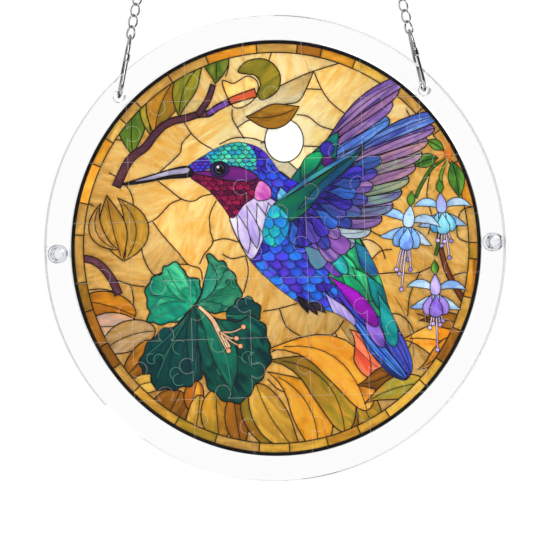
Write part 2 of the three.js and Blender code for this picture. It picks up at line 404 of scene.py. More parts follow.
def pierced_disc(radius, openings, front, back, chamfer):
    """A flat disc in the XZ plane with round openings and broken edges, as points and faces."""
    loops = [(0.0, 0.0, radius, DISC_STEPS, -1)]
    for x, z, size in openings:
        loops.append((x, z, size, WIDE_HOLE_STEPS if size > radius / 2 else HOLE_STEPS, 1))
    levels = [(front, chamfer), (front + chamfer, 0.0), (back - chamfer, 0.0), (back, chamfer)]
    points = []
    faces = []
    caps = {0: [], 3: []}
    for x, z, size, steps, side in loops:
        base = len(points)
        for level, (depth, inset) in enumerate(levels):
            ring = round_loop(x, z, size + side * inset, steps)
            if level in caps:
                caps[level].append([(len(points) + k, *place) for k, place in enumerate(ring)])
            points += [(px, depth, pz) for px, pz in ring]
        for level in range(3):
            for k in range(steps):
                low = base + level * steps
                after = (k + 1) % steps
                face = [low + k, low + steps + k, low + steps + after, low + after]
                faces.append(face if side < 0 else face[::-1])
    for level, rings in caps.items():
        flat_rings = [[Vector((x, z, 0)) for _, x, z in ring] for ring in rings]
        numbers = [number for ring in rings for number, _, _ in ring]
        for triangle in tessellate_polygon(flat_rings):
            corners = [numbers[k] for k in triangle]
            a, b, c = (Vector(points[k]) for k in corners)
            towards_back = (b - a).cross(c - a).y > 0
            faces.append(corners if towards_back == (level == 3) else corners[::-1])
    return points, faces


def placed(points, matrix):
    return [tuple(matrix @ Vector(point)) for point in points]


def revolve(profile, steps):
    """Turns a section of radius and depth round the Y axis. It starts and ends on the axis."""
    points = [(0.0, profile[0][1], 0.0), (0.0, profile[-1][1], 0.0)]
    rings = []
    for radius, depth in profile[1:-1]:
        rings.append(len(points))
        points += [(x, depth, z) for x, z in round_loop(0, 0, radius, steps)]
    faces = []
    for k in range(steps):
        after = (k + 1) % steps
        faces.append([0, rings[0] + k, rings[0] + after])
        faces.append([1, rings[-1] + after, rings[-1] + k])
        for low, high in zip(rings, rings[1:]):
            faces.append([low + k, high + k, high + after, low + after])
    return points, faces


def tube(path, radii, steps, hub=None):
    """A round wire on a path: closed round the hub line if there is one, else with flat caps at its ends."""
    closed = hub is not None
    count = len(path)
    points = []
    faces = []
    for k, place in enumerate(path):
        before = path[k - 1] if closed or k else place
        after = path[(k + 1) % count] if closed or k < count - 1 else place
        along = (after - before).normalized()
        outward = place - hub(place) if closed else Vector((1, 0, 0))
        outward = (outward - outward.dot(along) * along).normalized()
        side = along.cross(outward)
        radius = radii[k] if isinstance(radii, list) else radii
        for step in range(steps):
            turn = 2 * math.pi * step / steps
            points.append(place + radius * (math.cos(turn) * outward + math.sin(turn) * side))
    for k in range(count if closed else count - 1):
        for step in range(steps):
            low = k * steps
            high = (k + 1) % count * steps
            after = (step + 1) % steps
            faces.append([low + step, low + after, high + after, high + step])
    if not closed:
        faces.append(list(range(steps))[::-1])
        faces.append([(count - 1) * steps + step for step in range(steps)])
    return points, faces


def join(points, faces, more, more_faces):
    """Adds a second mesh to the points and faces of a first."""
    base = len(points)
    points += more
    faces += [[corner + base for corner in face] for face in more_faces]


# The jigsaw cut, by the same rule as the solids


class Jigsaw:
    """The cells of the puzzle and the outline of each piece, in millimetres."""

    SOLID_CUT = 0.3
    WANDER_PER_CUT = 2.3
    WANDER_PER_CELL = 3.7

    def __init__(self, sizes, radius):
        self.sizes = sizes
        self.radius = radius
        self.pitch = 2 * radius / sizes.across
        self.last = (sizes.across - 1) // 2

    def inside(self, column, row):
        near = math.hypot(max(abs(column) - 0.5, 0), max(abs(row) - 0.5, 0))
        return near * self.pitch < self.radius - self.sizes.knob_room

    def cells(self):
        span = range(-self.last, self.last + 1)
        return [(column, row) for row in span for column in span if self.inside(column, row)]

    def name(self, column, row):
        return f"puzzle_piece_r{self.last - row + 1}_c{column + self.last + 1}"

    def knob_on(self, line, cell, upright):
        """Where the knob on a cut lies along its cell, and the side that it points to."""
        offset = line * self.pitch
        half_cut = math.sqrt(self.radius**2 - offset**2)
        low = max((cell - 0.5) * self.pitch, -half_cut)
        high = min((cell + 0.5) * self.pitch, half_cut)
        along = (low + high) / 2
        if high - low >= self.pitch - self.SOLID_CUT:
            swing = math.sin(self.WANDER_PER_CUT * line + self.WANDER_PER_CELL * cell)
            along += self.sizes.knob_wander * swing
        knob = self.sizes.knob
        reach = math.hypot(abs(offset) + self.sizes.knob_reach + knob, abs(along) + knob)
        inwards = self.radius - reach < self.sizes.knob_room
        alternate = 1 if (math.floor(line + 1.0) + cell + upright) % 2 else -1
        return along - cell * self.pitch, -math.copysign(1, offset) if inwards else alternate

    def side(self, knob):
        """One side from corner to corner: u along the side, v out of the piece."""
        half = self.pitch / 2
        inset = self.sizes.cut / 2
        points = [(-half + inset, -inset)]
        if not knob:
            return points
        at, tab = knob
        reach = self.sizes.knob_reach
        radius = self.sizes.knob - tab * inset
        centre = tab * reach
        neck = math.sqrt(radius**2 - (centre + inset) ** 2)
        opening = math.acos(reach / self.sizes.knob)
        points.append((at - neck, -inset))
        for k in range(1, KNOB_STEPS):
            turn = opening + (2 * math.pi - 2 * opening) * k / KNOB_STEPS
            points.append((at - radius * math.sin(turn), centre - tab * radius * math.cos(turn)))
        points.append((at + neck, -inset))
        return points

    def outline(self, column, row):
        points = []
        for x, z in ((0, -1), (1, 0), (0, 1), (-1, 0)):
            knob = None
            if self.inside(column + x, row + z):
                cut = (column + x / 2, row, 1) if x else (row + z / 2, column, 0)
                along, tab = self.knob_on(*cut)
                knob = ((x - z) * along, (x + z) * tab)
            for u, v in self.side(knob):
                out = self.pitch / 2 + v
                points.append((column * self.pitch - u * z + out * x, row * self.pitch + u * x + out * z))
        return points


# The picture's drawing tools


def signed_area(loop):
    return sum(a[0] * b[1] - b[0] * a[1] for a, b in zip(loop, loop[1:] + loop[:1])) / 2


def holds(loop, point):
    """Whether a closed loop goes round a point."""
    x, z = point
    found = False
    for (ax, az), (bx, bz) in zip(loop, loop[1:] + loop[:1]):
        if (az > z) != (bz > z) and x < (bx - ax) * (z - az) / (bz - az) + ax:
            found = not found
    return found


def flowing(points, closed=False, steps=5):
    """A smooth curve through the points."""
    count = len(points)
    curve = []
    for k in range(count if closed else count - 1):
        if closed:
            near = [points[(k + step) % count] for step in (-1, 0, 1, 2)]
        else:
            near = [points[min(max(k + step, 0), count - 1)] for step in (-1, 0, 1, 2)]
        for step in range(steps):
            t = step / steps
            weights = (
                -t / 2 + t * t - t**3 / 2,
                1 - 2.5 * t * t + 1.5 * t**3,
                t / 2 + 2 * t * t - 1.5 * t**3,
                -t * t / 2 + t**3 / 2,
            )
            curve.append(tuple(sum(w * p[axis] for w, p in zip(weights, near)) for axis in (0, 1)))
    if not closed:
        curve.append(tuple(points[-1]))
    return curve


def bent_line(base, tip, bend, shares):
    """A line from base to tip that bows out by bend to its left, at shares of its length."""
    run = Vector(tip) - Vector(base)
    aside = Vector((-run.y, run.x)).normalized() * bend
    return [Vector(base) + run * t + aside * 4 * t * (1 - t) for t in shares]


def even(steps):
    return [k / steps for k in range(steps + 1)]


def blade(base, tip, width, bend=0.0, fullness=0.5, steps=12, blunt=0.0):
    """A leaf, petal or feather, and the line along its middle. Fullness is where it is widest."""
    shares = [math.sin(math.pi / 2 * t) for t in even(steps)] if blunt else even(steps)
    spine = bent_line(base, tip, bend, shares)
    power = math.log(0.5) / math.log(fullness)
    left = []
    right = []
    for k, (place, t) in enumerate(zip(spine, shares)):
        swell = math.sin(math.pi * t**power)
        if blunt and t > fullness:
            swell = math.sqrt(max(0.0, 1 - ((t - fullness) / (1 - fullness)) ** (2 + 4 * blunt)))
        ahead = spine[min(k + 1, steps)] - spine[max(k - 1, 0)]
        aside = Vector((-ahead.y, ahead.x)).normalized() * width / 2 * swell
        left.append(tuple(place + aside))
        right.append(tuple(place - aside))
    return left + right[-2:0:-1], [tuple(place) for place in spine]


def ribbon(path, start, end):
    """A closed band along a path that tapers from one width to the other."""
    left = []
    right = []
    for k, place in enumerate(path):
        ahead = Vector(path[min(k + 1, len(path) - 1)]) - Vector(path[max(k - 1, 0)])
        width = start + (end - start) * k / (len(path) - 1)
        aside = Vector((-ahead.y, ahead.x)).normalized() * width / 2
        left.append((place[0] + aside.x, place[1] + aside.y))
        right.append((place[0] - aside.x, place[1] - aside.y))
    return left + right[::-1]


class Art:
    """The picture as flat areas and lead lines, each over the ones before it."""

    def __init__(self, sizes, radius):
        self.sizes = sizes
        self.radius = radius
        self.points = []
        self.faces = []
        self.loops = []
        self.owners = []
        self.items = []

    def _face(self, loop, owner):
        if signed_area(loop) < 0:
            loop = loop[::-1]
        start = len(self.points)
        self.points += [Vector(point) for point in loop]
        self.faces.append(list(range(start, start + len(loop))))
        self.loops.append(loop)
        self.owners.append(owner)

    def _near(self, points):
        return any(math.hypot(*point) < self.radius + 1 for point in points)

    def area(self, loop, tones, along=None, lead=None, pace=1.0, lean=0.0, within=None):
        """An area of glass in one of two or more tones, with a lead line round it."""
        if not self._near(loop):
            return
        item = {"tones": tones, "along": along, "pace": pace, "lean": lean, "within": within}
        self.items.append(item)
        self._face(loop, len(self.items) - 1)
        lead = self.sizes.lead if lead is None else lead
        if lead:
            self.line(loop + loop[:2], lead, within=within)

    def line(self, path, width=None, tone=None, within=None):
        """A plain line of even width."""
        width = width or self.sizes.lead
        self.items.append({"line": tone or self.sizes.line_tone, "within": within})
        sides = []
        for k, place in enumerate(path):
            here = Vector(place)
            back = (here - Vector(path[k - 1])).normalized() if k else Vector((0, 0))
            ahead = (Vector(path[k + 1]) - here).normalized() if k < len(path) - 1 else Vector((0, 0))
            along = (back + ahead).normalized() if (back + ahead).length > 1e-6 else ahead
            stretch = 1 / max(0.6, along.dot(ahead if k < len(path) - 1 else back))
            aside = Vector((-along.y, along.x)) * width / 2 * stretch
            sides.append((tuple(here + aside), tuple(here - aside)))
        for (a, b), (c, d) in zip(sides, sides[1:]):
            if self._near([a, b, c, d]):
                self._face([a, b, d, c], len(self.items) - 1)

    def shows(self, owner, face, place):
        """Whether an item's face really covers a place."""
        within = self.items[owner]["within"]
        return holds(self.loops[face], place) and (within is None or holds(within, place))


# The picture's figures, in millimetres from the disc's middle

GRAIN = 1.7
GLOW = (4.2, 46.0)
GLOW_TONES = [
    (0, 0xFFFBF0, 0xFFF6E0),
    (13, 0xFDF0CC, 0xF9E2A4),
    (26, 0xF6DC9A, 0xEFC46E),
    (42, 0xF1CF85, 0xE8B252),
    (62, 0xE9C073, 0xDCA244),
    (90, 0xDEB468, 0xC8923F),
    (125, 0xD3A75E, 0xB2853C),
    (170, 0xC5984E, 0x9A6D2E),
]


def glow_tones(place, warmth):
    """The two tones of the background glass at a place: cream round the glow, then gold to ochre."""
    tint = (1 + 0.03 * warmth, 1 - 0.05 * warmth, 1 - 0.36 * warmth)
    away = math.hypot(place[0] - GLOW[0], place[1] - GLOW[1])
    for (near, a, b), (far, c, d) in zip(GLOW_TONES, GLOW_TONES[1:]):
        if away <= far:
            share = (away - near) / (far - near)
            pairs = [zip(linear(one), linear(other), tint) for one, other in ((a, c), (b, d))]
            return [tuple((p + (q - p) * share) * t for p, q, t in pair) for pair in pairs]
    raise ValueError("The background is larger than its tones reach")


# The background's lead lines, each a run of x and z
BACKGROUND_LINES = [
    [(-39, 55), (-36, 50), (-32, 46), (-27, 43)],
    [(-36, 50), (-40, 46), (-41, 42), (-45, 38), (-50, 34)],
    [(-51, 30), (-46, 26), (-41, 22), (-36, 21), (-32, 23), (-27, 24)],
    [(-41, 22), (-46, 20), (-50, 16), (-54, 13), (-63, 10)],
    [(-54, 13), (-49, 6), (-43, -1), (-39, -6), (-34, -8), (-33, -13)],
    [(-26, 21), (-29, 15), (-29, 8), (-28, 3), (-32, -2), (-34, -6)],
    [(-28.5, 3.5), (-23, 4.6), (-17, 3)],
    [(-59, 3), (-58, -3), (-54, -10), (-49, -8)],
    [(-72, -11), (-64, -14), (-58, -15)],
    [(-64, -14), (-63, -21), (-64, -28), (-60, -35), (-56, -37)],
    [(-18, 60), (-18, 56), (-16, 52), (-13, 47)],
    [(-24, 45), (-18, 47.5), (-11, 47.5), (-5, 45.5), (1, 41), (10, 33)],
    [(-16, 52), (-11, 55), (-6, 54.5), (-3, 51), (-3.5, 47), (-6, 45)],
    [(0, 90), (0, 85), (-2, 79)],
    [(-21, 86), (-19, 79), (-20.5, 74)],
    [(2, 69), (10, 72.5), (18, 75.5), (34, 80)],
    [(18, 75.5), (14, 67), (10.6, 62.5), (5, 61.6)],
    [(18, 75.5), (21, 68), (25, 62), (31, 57)],
    [(14.4, 68), (21, 67.6)],
    [(10, 57), (15, 56), (20, 52), (26, 50)],
    [(12, 43.5), (19, 43)],
    [(-72, 34), (-66, 30), (-62, 22), (-63, 10)],
    [(-60, 45), (-68, 48), (-78, 46)],
    [(-48, 70), (-42, 74), (-40, 80)],
    [(58, 58), (62, 52), (70, 49)],
    [(47, 17), (52, 14), (57, 9)],
    [(38, 8), (44, 4.5), (49, 3.6)],
    [(35, 2), (40, 2.4), (45, -1), (47, -6)],
    [(68, 32), (66, 21), (68, 11), (66, 4)],
    [(84, 16), (80, 12), (79, 3), (84, 0)],
    [(41, -6), (45, -2.6), (50, -2)],
    [(43, -12.5), (51, -12), (60, -12.5), (67, -10)],
    [(62, -12), (59, -18), (57, -23), (56, -31)],
    [(48, -29.6), (53, -30.4), (57, -34.5), (58.4, -40), (55, -46)],
    [(75, -14.6), (80, -13), (86, -13)],
    [(62, -39), (67, -41), (73, -39.5), (79, -35)],
    [(-14, -3), (-13, -10), (-15.4, -19)],
    [(-7, -27), (0, -26), (8, -24)],
    [(0, -26), (3, -34), (10, -39.5), (2, -42), (-5, -45)],
    [(28, -32), (24, -37), (17, -41)],
    [(24, -37), (27, -43), (31, -44)],
    [(33, -60), (35, -67), (38, -80)],
    [(-6, -56), (-1, -61), (6, -62.4), (12, -61)],
    [(45, -58), (52, -66), (56, -70)],
    [(60, -30), (66, -32), (72, -34), (80, -32)],
    [(66, -49), (70, -56), (68, -60)],
    [(-66, -32), (-72, -30), (-80, -31)],
    [(-79, 20), (-84, 22), (-90, 20)],
    [(-84, -16), (-77, -15.4), (-70, -17)],
    [(-50, -8), (-44, -6), (-39, -6)],
    [(-24, -2), (-20, -4), (-14, -3)],
]


def draw_background(art):
    """Gold glass in large flowing panes, palest in a round pane above the bird's back."""
    art.area(round_loop(0, 0, art.radius, 128), "glow", lead=0)
    for line in BACKGROUND_LINES:
        art.line(flowing(line))
    pale = [(GLOW[0] + 8.4 * x, GLOW[1] + 9.3 * z) for x, z in round_loop(0, 0, 1, 40)]
    art.area(pale, (0xFFFFFC, 0xFFFCF0), 0.4)


OLIVE = (0x9A8F22, 0x6B7420, 0xB5A030)
MOSS = (0x6F8A22, 0x9A9A2C, 0x4A6A1C)
BRONZE = (0xA06A16, 0x8F7A1E, 0xC08A24)
TAWNY = (0xCF8414, 0xA8620F, 0xE2A02C)
ORANGE = (0xE08E1C, 0xBE6A12, 0xF2AE38)
HONEY = (0xD9A83A, 0xB8842A, 0xE8C060)
UMBER = (0x94590F, 0xAE7018, 0x78480C)
BARK = (0x5A2F38, 0x74404A, 0x46243A)
SPRIG = (0x4F8F2C, 0x78B03C, 0x2F6A24)

# Each leaf: base x and z, tip x and z, width, bend, tones
LOWER_LEAVES = [
    (-92, -20, -62.5, -27.5, 12, 2, TAWNY),
    (-92, -35, -60, -34, 12, 3, (0xD9A37A, 0xC98F3A, 0xC0A08F)),
    (-82, -47, -54, -34, 13, 3.5, (0xB5946A, 0xA98040, 0xC0A07A)),
    (-73, -57, -56, -38, 10, -2, UMBER),
    (-70, -61, -50, -56, 8.5, 2, HONEY),
    (-57, -79, -44, -60, 17, -1, UMBER),
    (-39, -72, -36.5, -56, 8.5, 0.8, ORANGE),
    (-42, -90, -35.5, -62, 9.5, -1, HONEY),
    (-27, -88, -28.5, -60, 14, 0.5, BRONZE),
    (-17, -90, -21, -63, 10, 0.5, UMBER),
    (-4, -91, -16, -62, 13.5, -1.5, BRONZE),
    (11, -92, -11, -58, 15, 3.0, HONEY),
    (2, -84, 35, -78, 15, -5, HONEY),
    (46, -86, 33, -60, 13, 2, BRONZE),
    (32, -88, 20, -60, 12.5, -1.5, UMBER),
    (-6, -53, 15, -87, 17, 7.0, TAWNY),
    (-6, -48, 27, -80, 17, 10.5, BRONZE),
    (-6, -43.5, 37, -71, 18, 12.5, ORANGE),
    (30.5, -36, 39, -57, 14, 3.5, (0xF0603A, 0xFA8A58, 0xE04E34)),
    (33, -60, 51, -54, 9, -1, UMBER),
    (36, -68, 63, -60, 10, 2, (0xC2922A, 0xE09A2A, 0xA89A30)),
    (53, -41, 82, -48, 15, 3, (0xEE9A10, 0xE07E0A, 0xF6B43A)),
    (61, -33, 82, -36, 7, 1.5, UMBER),
    (60, -54, 74, -41, 7, -2, ORANGE),
]
LEFT_LEAVES = [
    (-68.5, 23, -66.5, -3.8, 11, 6.5, (0xC0902E, 0xA67C24, 0xD0A648)),
    (-73.2, 24.4, -67.2, -3.6, 11.5, -0.8, (0xA87420, 0x946A1C, 0xBC8A30)),
    (-76, 21, -69, 1, 6, -6, (0xC8984A, 0xB48038, 0xD8AC5C)),
]
UPPER_LEAVES = [
    (-61.5, 41, -59, 67, 12, 1.5, MOSS),
    (-53.2, 49, -53, 71, 7.5, 1.2, OLIVE),
    (-52, 49, -36, 80, 15, 3.5, BRONZE),
    (-41, 57, -30, 80, 10, 3, OLIVE),
    (-25, 71, -27, 91, 11.5, -1.5, MOSS),
    (-12, 56.6, 11, 60.5, 10.5, -2.2, BRONZE),
]


def draw_blades(art, rows, along, fullness=0.5, blunt=0.0, **look):
    """Leaves, petals or feathers without a midrib, all streaked one way."""
    for x, z, tip_x, tip_z, width, bend, tones in rows:
        loop = blade((x, z), (tip_x, tip_z), width, bend, fullness, 12, blunt)[0]
        art.area(loop, tones, along, art.sizes.fine_lead, **look)


def draw_leaf(art, leaf, lead=None, fullness=0.52, blunt=0.0):
    """A leaf with its midrib, pointed or blunt."""
    x, z, tip_x, tip_z, width, bend, tones = leaf
    loop, spine = blade((x, z), (tip_x, tip_z), width, bend, fullness, 14, blunt)
    turn = math.atan2(tip_z - z, tip_x - x)
    art.area(loop, tones, turn, lead, lean=0.012)
    art.line(spine[1:-1], art.sizes.fine_lead)


def draw_branch(art):
    """A dark branch over the upper left, with a curled tendril and a seed pod."""
    curl = [(-15, 76), (-12, 79.8), (-6, 81.4), (-0.6, 79.8), (3.2, 74.4), (2, 67.5), (-4.6, 63.6)]
    curl += [(-6.8, 66.5), (-5.4, 70.4), (-7.6, 74.2), (-11, 74.8)]
    art.area(flowing(curl, True), (0x9A861E, 0x6C6A1C, 0xB59A34), 0.6, lean=0.02)
    pod = [(-18.4, 62), (-14, 60.6), (-8, 64.5), (-6.5, 71), (-11, 74), (-17, 71), (-22, 72)]
    art.area(flowing(pod, True), "glow")
    main = flowing([(-69, 28), (-64.5, 37), (-61, 41.2), (-56, 44.6), (-52, 49.6), (-48, 53.5)])
    main += flowing([(-43.5, 55.6), (-38, 56.6), (-33, 58), (-28, 58.4), (-24, 61), (-18, 63.4), (-8, 66.3)])
    art.area(ribbon(main, 3.6, 2.4), BARK, 0.6)
    art.area(ribbon(flowing([(-33, 57.8), (-28.5, 64), (-26, 70.5)]), 2.8, 2.2), BARK, 1.1)
    art.area(ribbon(flowing([(-19, 63.4), (-14, 65), (-7.6, 66.8)]), 2.6, 3.8), (0xF06A28, 0xD85A34), 0.2)
    art.area(ribbon(flowing([(-29, 58), (-24, 60.8), (-19.5, 63)]), 2.2, 2.6), (0x8A50C0, 0x6B3F90), 0.5)


def draw_stems(art):
    """Brown stems at the left and the lower right."""
    left = flowing([(-88, -2), (-81, -2.8), (-76, -6), (-71.8, -12), (-69.4, -18)])
    art.area(ribbon(left, 2.8, 3.4), BARK, -1.0)
    right = flowing([(71.5, -2), (73, -9), (75.8, -16), (81, -25)])
    art.area(ribbon(right, 1.9, 2.6), (0x6E3018, 0x84442A), -1.2)


JADE = (0x054440, 0x0B624E, 0x033036)
FERN = (0x1CA678, 0x58D49E, 0x0F7C68)
SHADE = (0x147654, 0x3A9E76, 0x0A5648)
PINE = (0x064A3E, 0x0C7058, 0x0C3A48)

# Each petal: the run of its rim, and its tones. The heart is where they all meet.
HEART = (-36.8, -23.6)
PETALS = [
    ([(-36.6, -23), (-33.4, -17), (-30, -8), (-31, -1.6), (-26.6, -4), (-22.4, -6.6), (-18.6, -12.6),
      (-16.4, -20), (-20.6, -26), (-28, -27)], SHADE),
    ([(-22.6, -27), (-18.8, -22.4), (-14.4, -20.6), (-10, -23), (-8, -28), (-12, -32), (-20, -32.6)], PINE),
    ([(-37.4, -24), (-34, -18.6), (-34.6, -13), (-40, -10.4), (-43, -5.6), (-48.4, -6), (-51, -9.4),
      (-56, -12.6), (-57.8, -18.8), (-56.4, -25), (-57, -30), (-51, -31), (-44, -30)], FERN),
    ([(-38, -26), (-44, -31.4), (-51, -33.6), (-57, -39), (-60.8, -46), (-60, -51.4), (-56.6, -53),
      (-55.4, -58), (-50, -59.4), (-44, -58.8), (-38, -57), (-34.4, -53), (-33.8, -42)], JADE),
    ([(-37, -25), (-29, -28.6), (-20, -31), (-12, -29), (-6.6, -33.4), (-5, -41), (-4.2, -47),
      (-7.4, -54), (-12, -59.6), (-16, -64.6), (-22, -65.8), (-28, -62.6), (-32.6, -57), (-34.8, -48),
      (-36.6, -36)], JADE),
]


def draw_bloom(art):
    """A large ruffled green bloom with cream stamens."""
    for number, (rim, tones) in enumerate(PETALS):
        base = flowing(rim, True, 6)
        centre = sum((Vector(point) for point in rim), Vector((0, 0))) / len(rim)
        loop = []
        for k, point in enumerate(base):
            away = Vector(point) - Vector(HEART)
            share = min(1.0, away.length / 12)
            out = (Vector(point) - centre).normalized() * 0.55 * math.sin(k * 0.95 + number) * share
            loop.append((point[0] + out.x, point[1] + out.y))
        away = centre - Vector(HEART)
        turn = math.atan2(away.y, away.x)
        art.area(loop, tones, turn, lead=0.62, lean=-0.022, pace=1.3)
        for k, point in enumerate(loop[::6]):
            vein = [tuple(p) for p in bent_line(HEART, point, 2.6 * math.sin(k + number), even(10))][2:-1]
            tone = (0.22, 0.52, 0.42) if k % 3 == 1 else (0.03, 0.17, 0.16)
            art.line(vein, 0.24, tone, within=loop)
        for k in range(5):
            spot = centre + Vector((math.cos(2.1 * k + number), math.sin(2.1 * k + number))) * (5 + k)
            curl = round_loop(spot.x, spot.y, 2.2 + 0.4 * (k % 3), 16)
            art.line((curl[k:] + curl[:k])[:11], 0.24, (0.30, 0.60, 0.50), within=loop)
    fold, spine = blade(HEART, (-22, -61), 11, 4.0, 0.55)
    art.area(fold, (0x0E7456, 0x269C74, 0x08544A), -1.0, art.sizes.fine_lead, lean=-0.02)
    art.line(spine[1:-1], 0.28, (0.25, 0.6, 0.45))
    throat, _ = blade(HEART, (-38, -55), 4.6, -1.0, 0.4)
    art.area(throat, PINE, -1.6, art.sizes.fine_lead)
    scroll, _ = blade(HEART, (-30, -5), 5.5, -3.5, 0.6)
    art.area(scroll, (0x2E9A7A, 0x1A7A64, 0x54B898), 1.2, art.sizes.fine_lead)
    cream = (0xF2BC8C, 0xFAD8AE)
    path = flowing([(-35, -24), (-29.5, -29.5), (-26.4, -35.5), (-22.6, -42.4)])
    art.area(ribbon(path, 1.4, 3.0), cream, -0.9, art.sizes.fine_lead)
    for tip in ((-15.8, -33.4), (-17.4, -41.6), (-22.6, -43.4), (-19.0, -38.2)):
        path = flowing([(-26, -35.4), ((tip[0] - 25) / 2, (tip[1] - 37.4) / 2), tip])
        art.area(ribbon(path, 1.0, 0.7), cream, -0.5, 0.26)
        art.area(round_loop(tip[0], tip[1], 1.15, 10), (0xF8B884, 0xE89A6A), 0.0, 0.26)


SKY = (0x5F8FE8, 0x8FC4F8, 0x5A72DC)
ICE = (0xA4D0F6, 0xD2E8FA, 0x86B0EC)
LILAC = (0xBCA2E8, 0xDCCCF6, 0x9A84DC)
VIOLET = (0x7448BC, 0x9A70DC, 0x5A3AA4)
AQUA = (0x46C4F0, 0x96ECFA, 0x3A98E0)


def draw_bell(art, top, size, lean, sepals, skirt, tube_tones, reach):
    """A hanging bell flower: calyx, tube, four spread sepals, a skirt of petals and stamens."""
    turn = Matrix.Rotation(lean, 2)

    def at(x, z):
        spot = turn @ Vector((x * size, z * size))
        return (top[0] + spot.x, top[1] + spot.y)

    fine = art.sizes.fine_lead
    for x, depth in zip((-2.6, -1.3, 0.1, 1.4, 2.6), reach):
        art.area(ribbon([at(x * 0.5, -7), at(x, -7 - depth)], 0.8, 0.7), (0xDCC0E4, 0xF0DCEC), -1.5, 0.26)
        drop = at(x, -7 - depth)
        art.area(round_loop(drop[0], drop[1], 0.95, 10), LILAC, 0.0, 0.26)
    for tip, width, bend in (((-10.2, -5.2), 3.4, 1.4), ((9.6, -6.4), 3.4, -1.0)):
        art.area(blade(at(0, 0), at(*tip), width * size, bend, 0.5)[0], sepals, lean, fine, lean=0.04)
    for x, wide in ((-3.1, 4.0), (3.1, 4.0), (0, 5.2)):
        loop = blade(at(x * 0.3, 0.2), at(x, -8.2 if x else -9.2), wide * size, 0.3 * x, 0.66, blunt=0.4)[0]
        art.area(loop, skirt, lean - 1.5, fine, lean=-0.06)
    for tip, width, bend in (((-11.2, 2.6), 3.3, -2.6), ((12.0, 0.6), 3.3, 3.0)):
        art.area(blade(at(0, 0.4), at(*tip), width * size, bend, 0.52)[0], sepals, lean, fine, lean=0.03)
    art.area(blade(at(0, 8.0), at(0, -0.8), 4.2 * size, 0, 0.6, blunt=0.7)[0], tube_tones, lean - 1.5, fine)
    art.area(blade(at(0, 12.6), at(0, 7.0), 3.0 * size, 0, 0.55)[0], SPRIG, lean - 1.5, fine)


def draw_bells(art):
    """Three pale bell flowers on stems from the right."""
    source = (77, 38.4)
    stems = [
        [source, (69, 33), (64, 26), (61, 20)],
        [source, (74, 33), (72.4, 29), (72.4, 26)],
        [(71, 8), (70.5, 2), (70, -2), (69, -5)],
    ]
    for stem in stems:
        art.area(ribbon(flowing(stem), 1.3, 1.4), SPRIG, -1.2, art.sizes.fine_lead)
    for k in range(9):
        turn = math.radians(95 + 22 * k)
        tip = (source[0] + 9.5 * math.cos(turn), source[1] + 9.5 * math.sin(turn))
        art.line([source, tip], 0.4, (0.95, 0.45, 0.08))
    for leaf in (
        (60.5, 33.6, 71.5, 37.0, 6.0, 0.6, SPRIG),
        (66.5, 44.6, 74, 40.2, 4.4, 0.4, SPRIG),
        (80.2, 19.5, 77.2, 35.5, 7.2, -0.6, SPRIG),
    ):
        draw_leaf(art, leaf, art.sizes.fine_lead)
    purple = (0x9A78DC, 0xC4ACF0, 0x7A56C4)
    draw_bell(art, (68.6, -21.4), 1.14, 0.0, ICE, purple, LILAC, (6, 4.5, 14.5, 5, 3.5))
    draw_bell(art, (72.4, 14.0), 1.1, 0.06, ICE, AQUA, (0x9AC0F2, 0xB4A8EA), (4.4, 6.5, 5.0, 11.5, 5))
    draw_bell(art, (57.4, 8.2), 1.18, -0.14, ICE, SKY, ICE, (9.5, 11, 16.5, 5.5, 9))


CROWN = (0x22B8B8, 0x3AD0A0, 0x2A8AD0, 0x5FE0C0, 0x1A9A98)
NAPE = (0x3A2ED0, 0x5A28BC, 0x2F58E0, 0x32209A)
CRIMSON = (0x780A40, 0x4E0A3C, 0xA01648)
PLUM = (0x4A1878, 0x701C78, 0x341460)
SNOW = (0xE8DCF8, 0xC8B0F0, 0xFAF4FF)
ROYAL = (0x3A46D8, 0x5438CC, 0x2A84F0, 0x2C2494, 0x2466D8)
INDIGO = (0x26288C, 0x4030B0, 0x1C1C6C)
DUSK = (0x3A3AA0, 0x5A44A8, 0x2C4C98)
EMERALD = (0x12A060, 0x0E7C5C, 0x38C87C)
TEAL = (0x0E8C8C, 0x22B4B4, 0x0C6470)
OCEAN = (0x1E3E9C, 0x3468C4, 0x18246C)
MAGENTA = (0xA010B8, 0x780C98)
MAUVE = (0x7C5AA6, 0xA880B8, 0x584094)
ROSE = (0x9C6E9E, 0x845690, 0xC0909C)
SAGE = (0x86A086, 0xA8AA80, 0x5C7E98)
MIST = (0x94AABC, 0x6E88B8, 0xB8C8D0)
PERIWINKLE = (0x4468C0, 0x7CA4E8, 0x3C44A0)

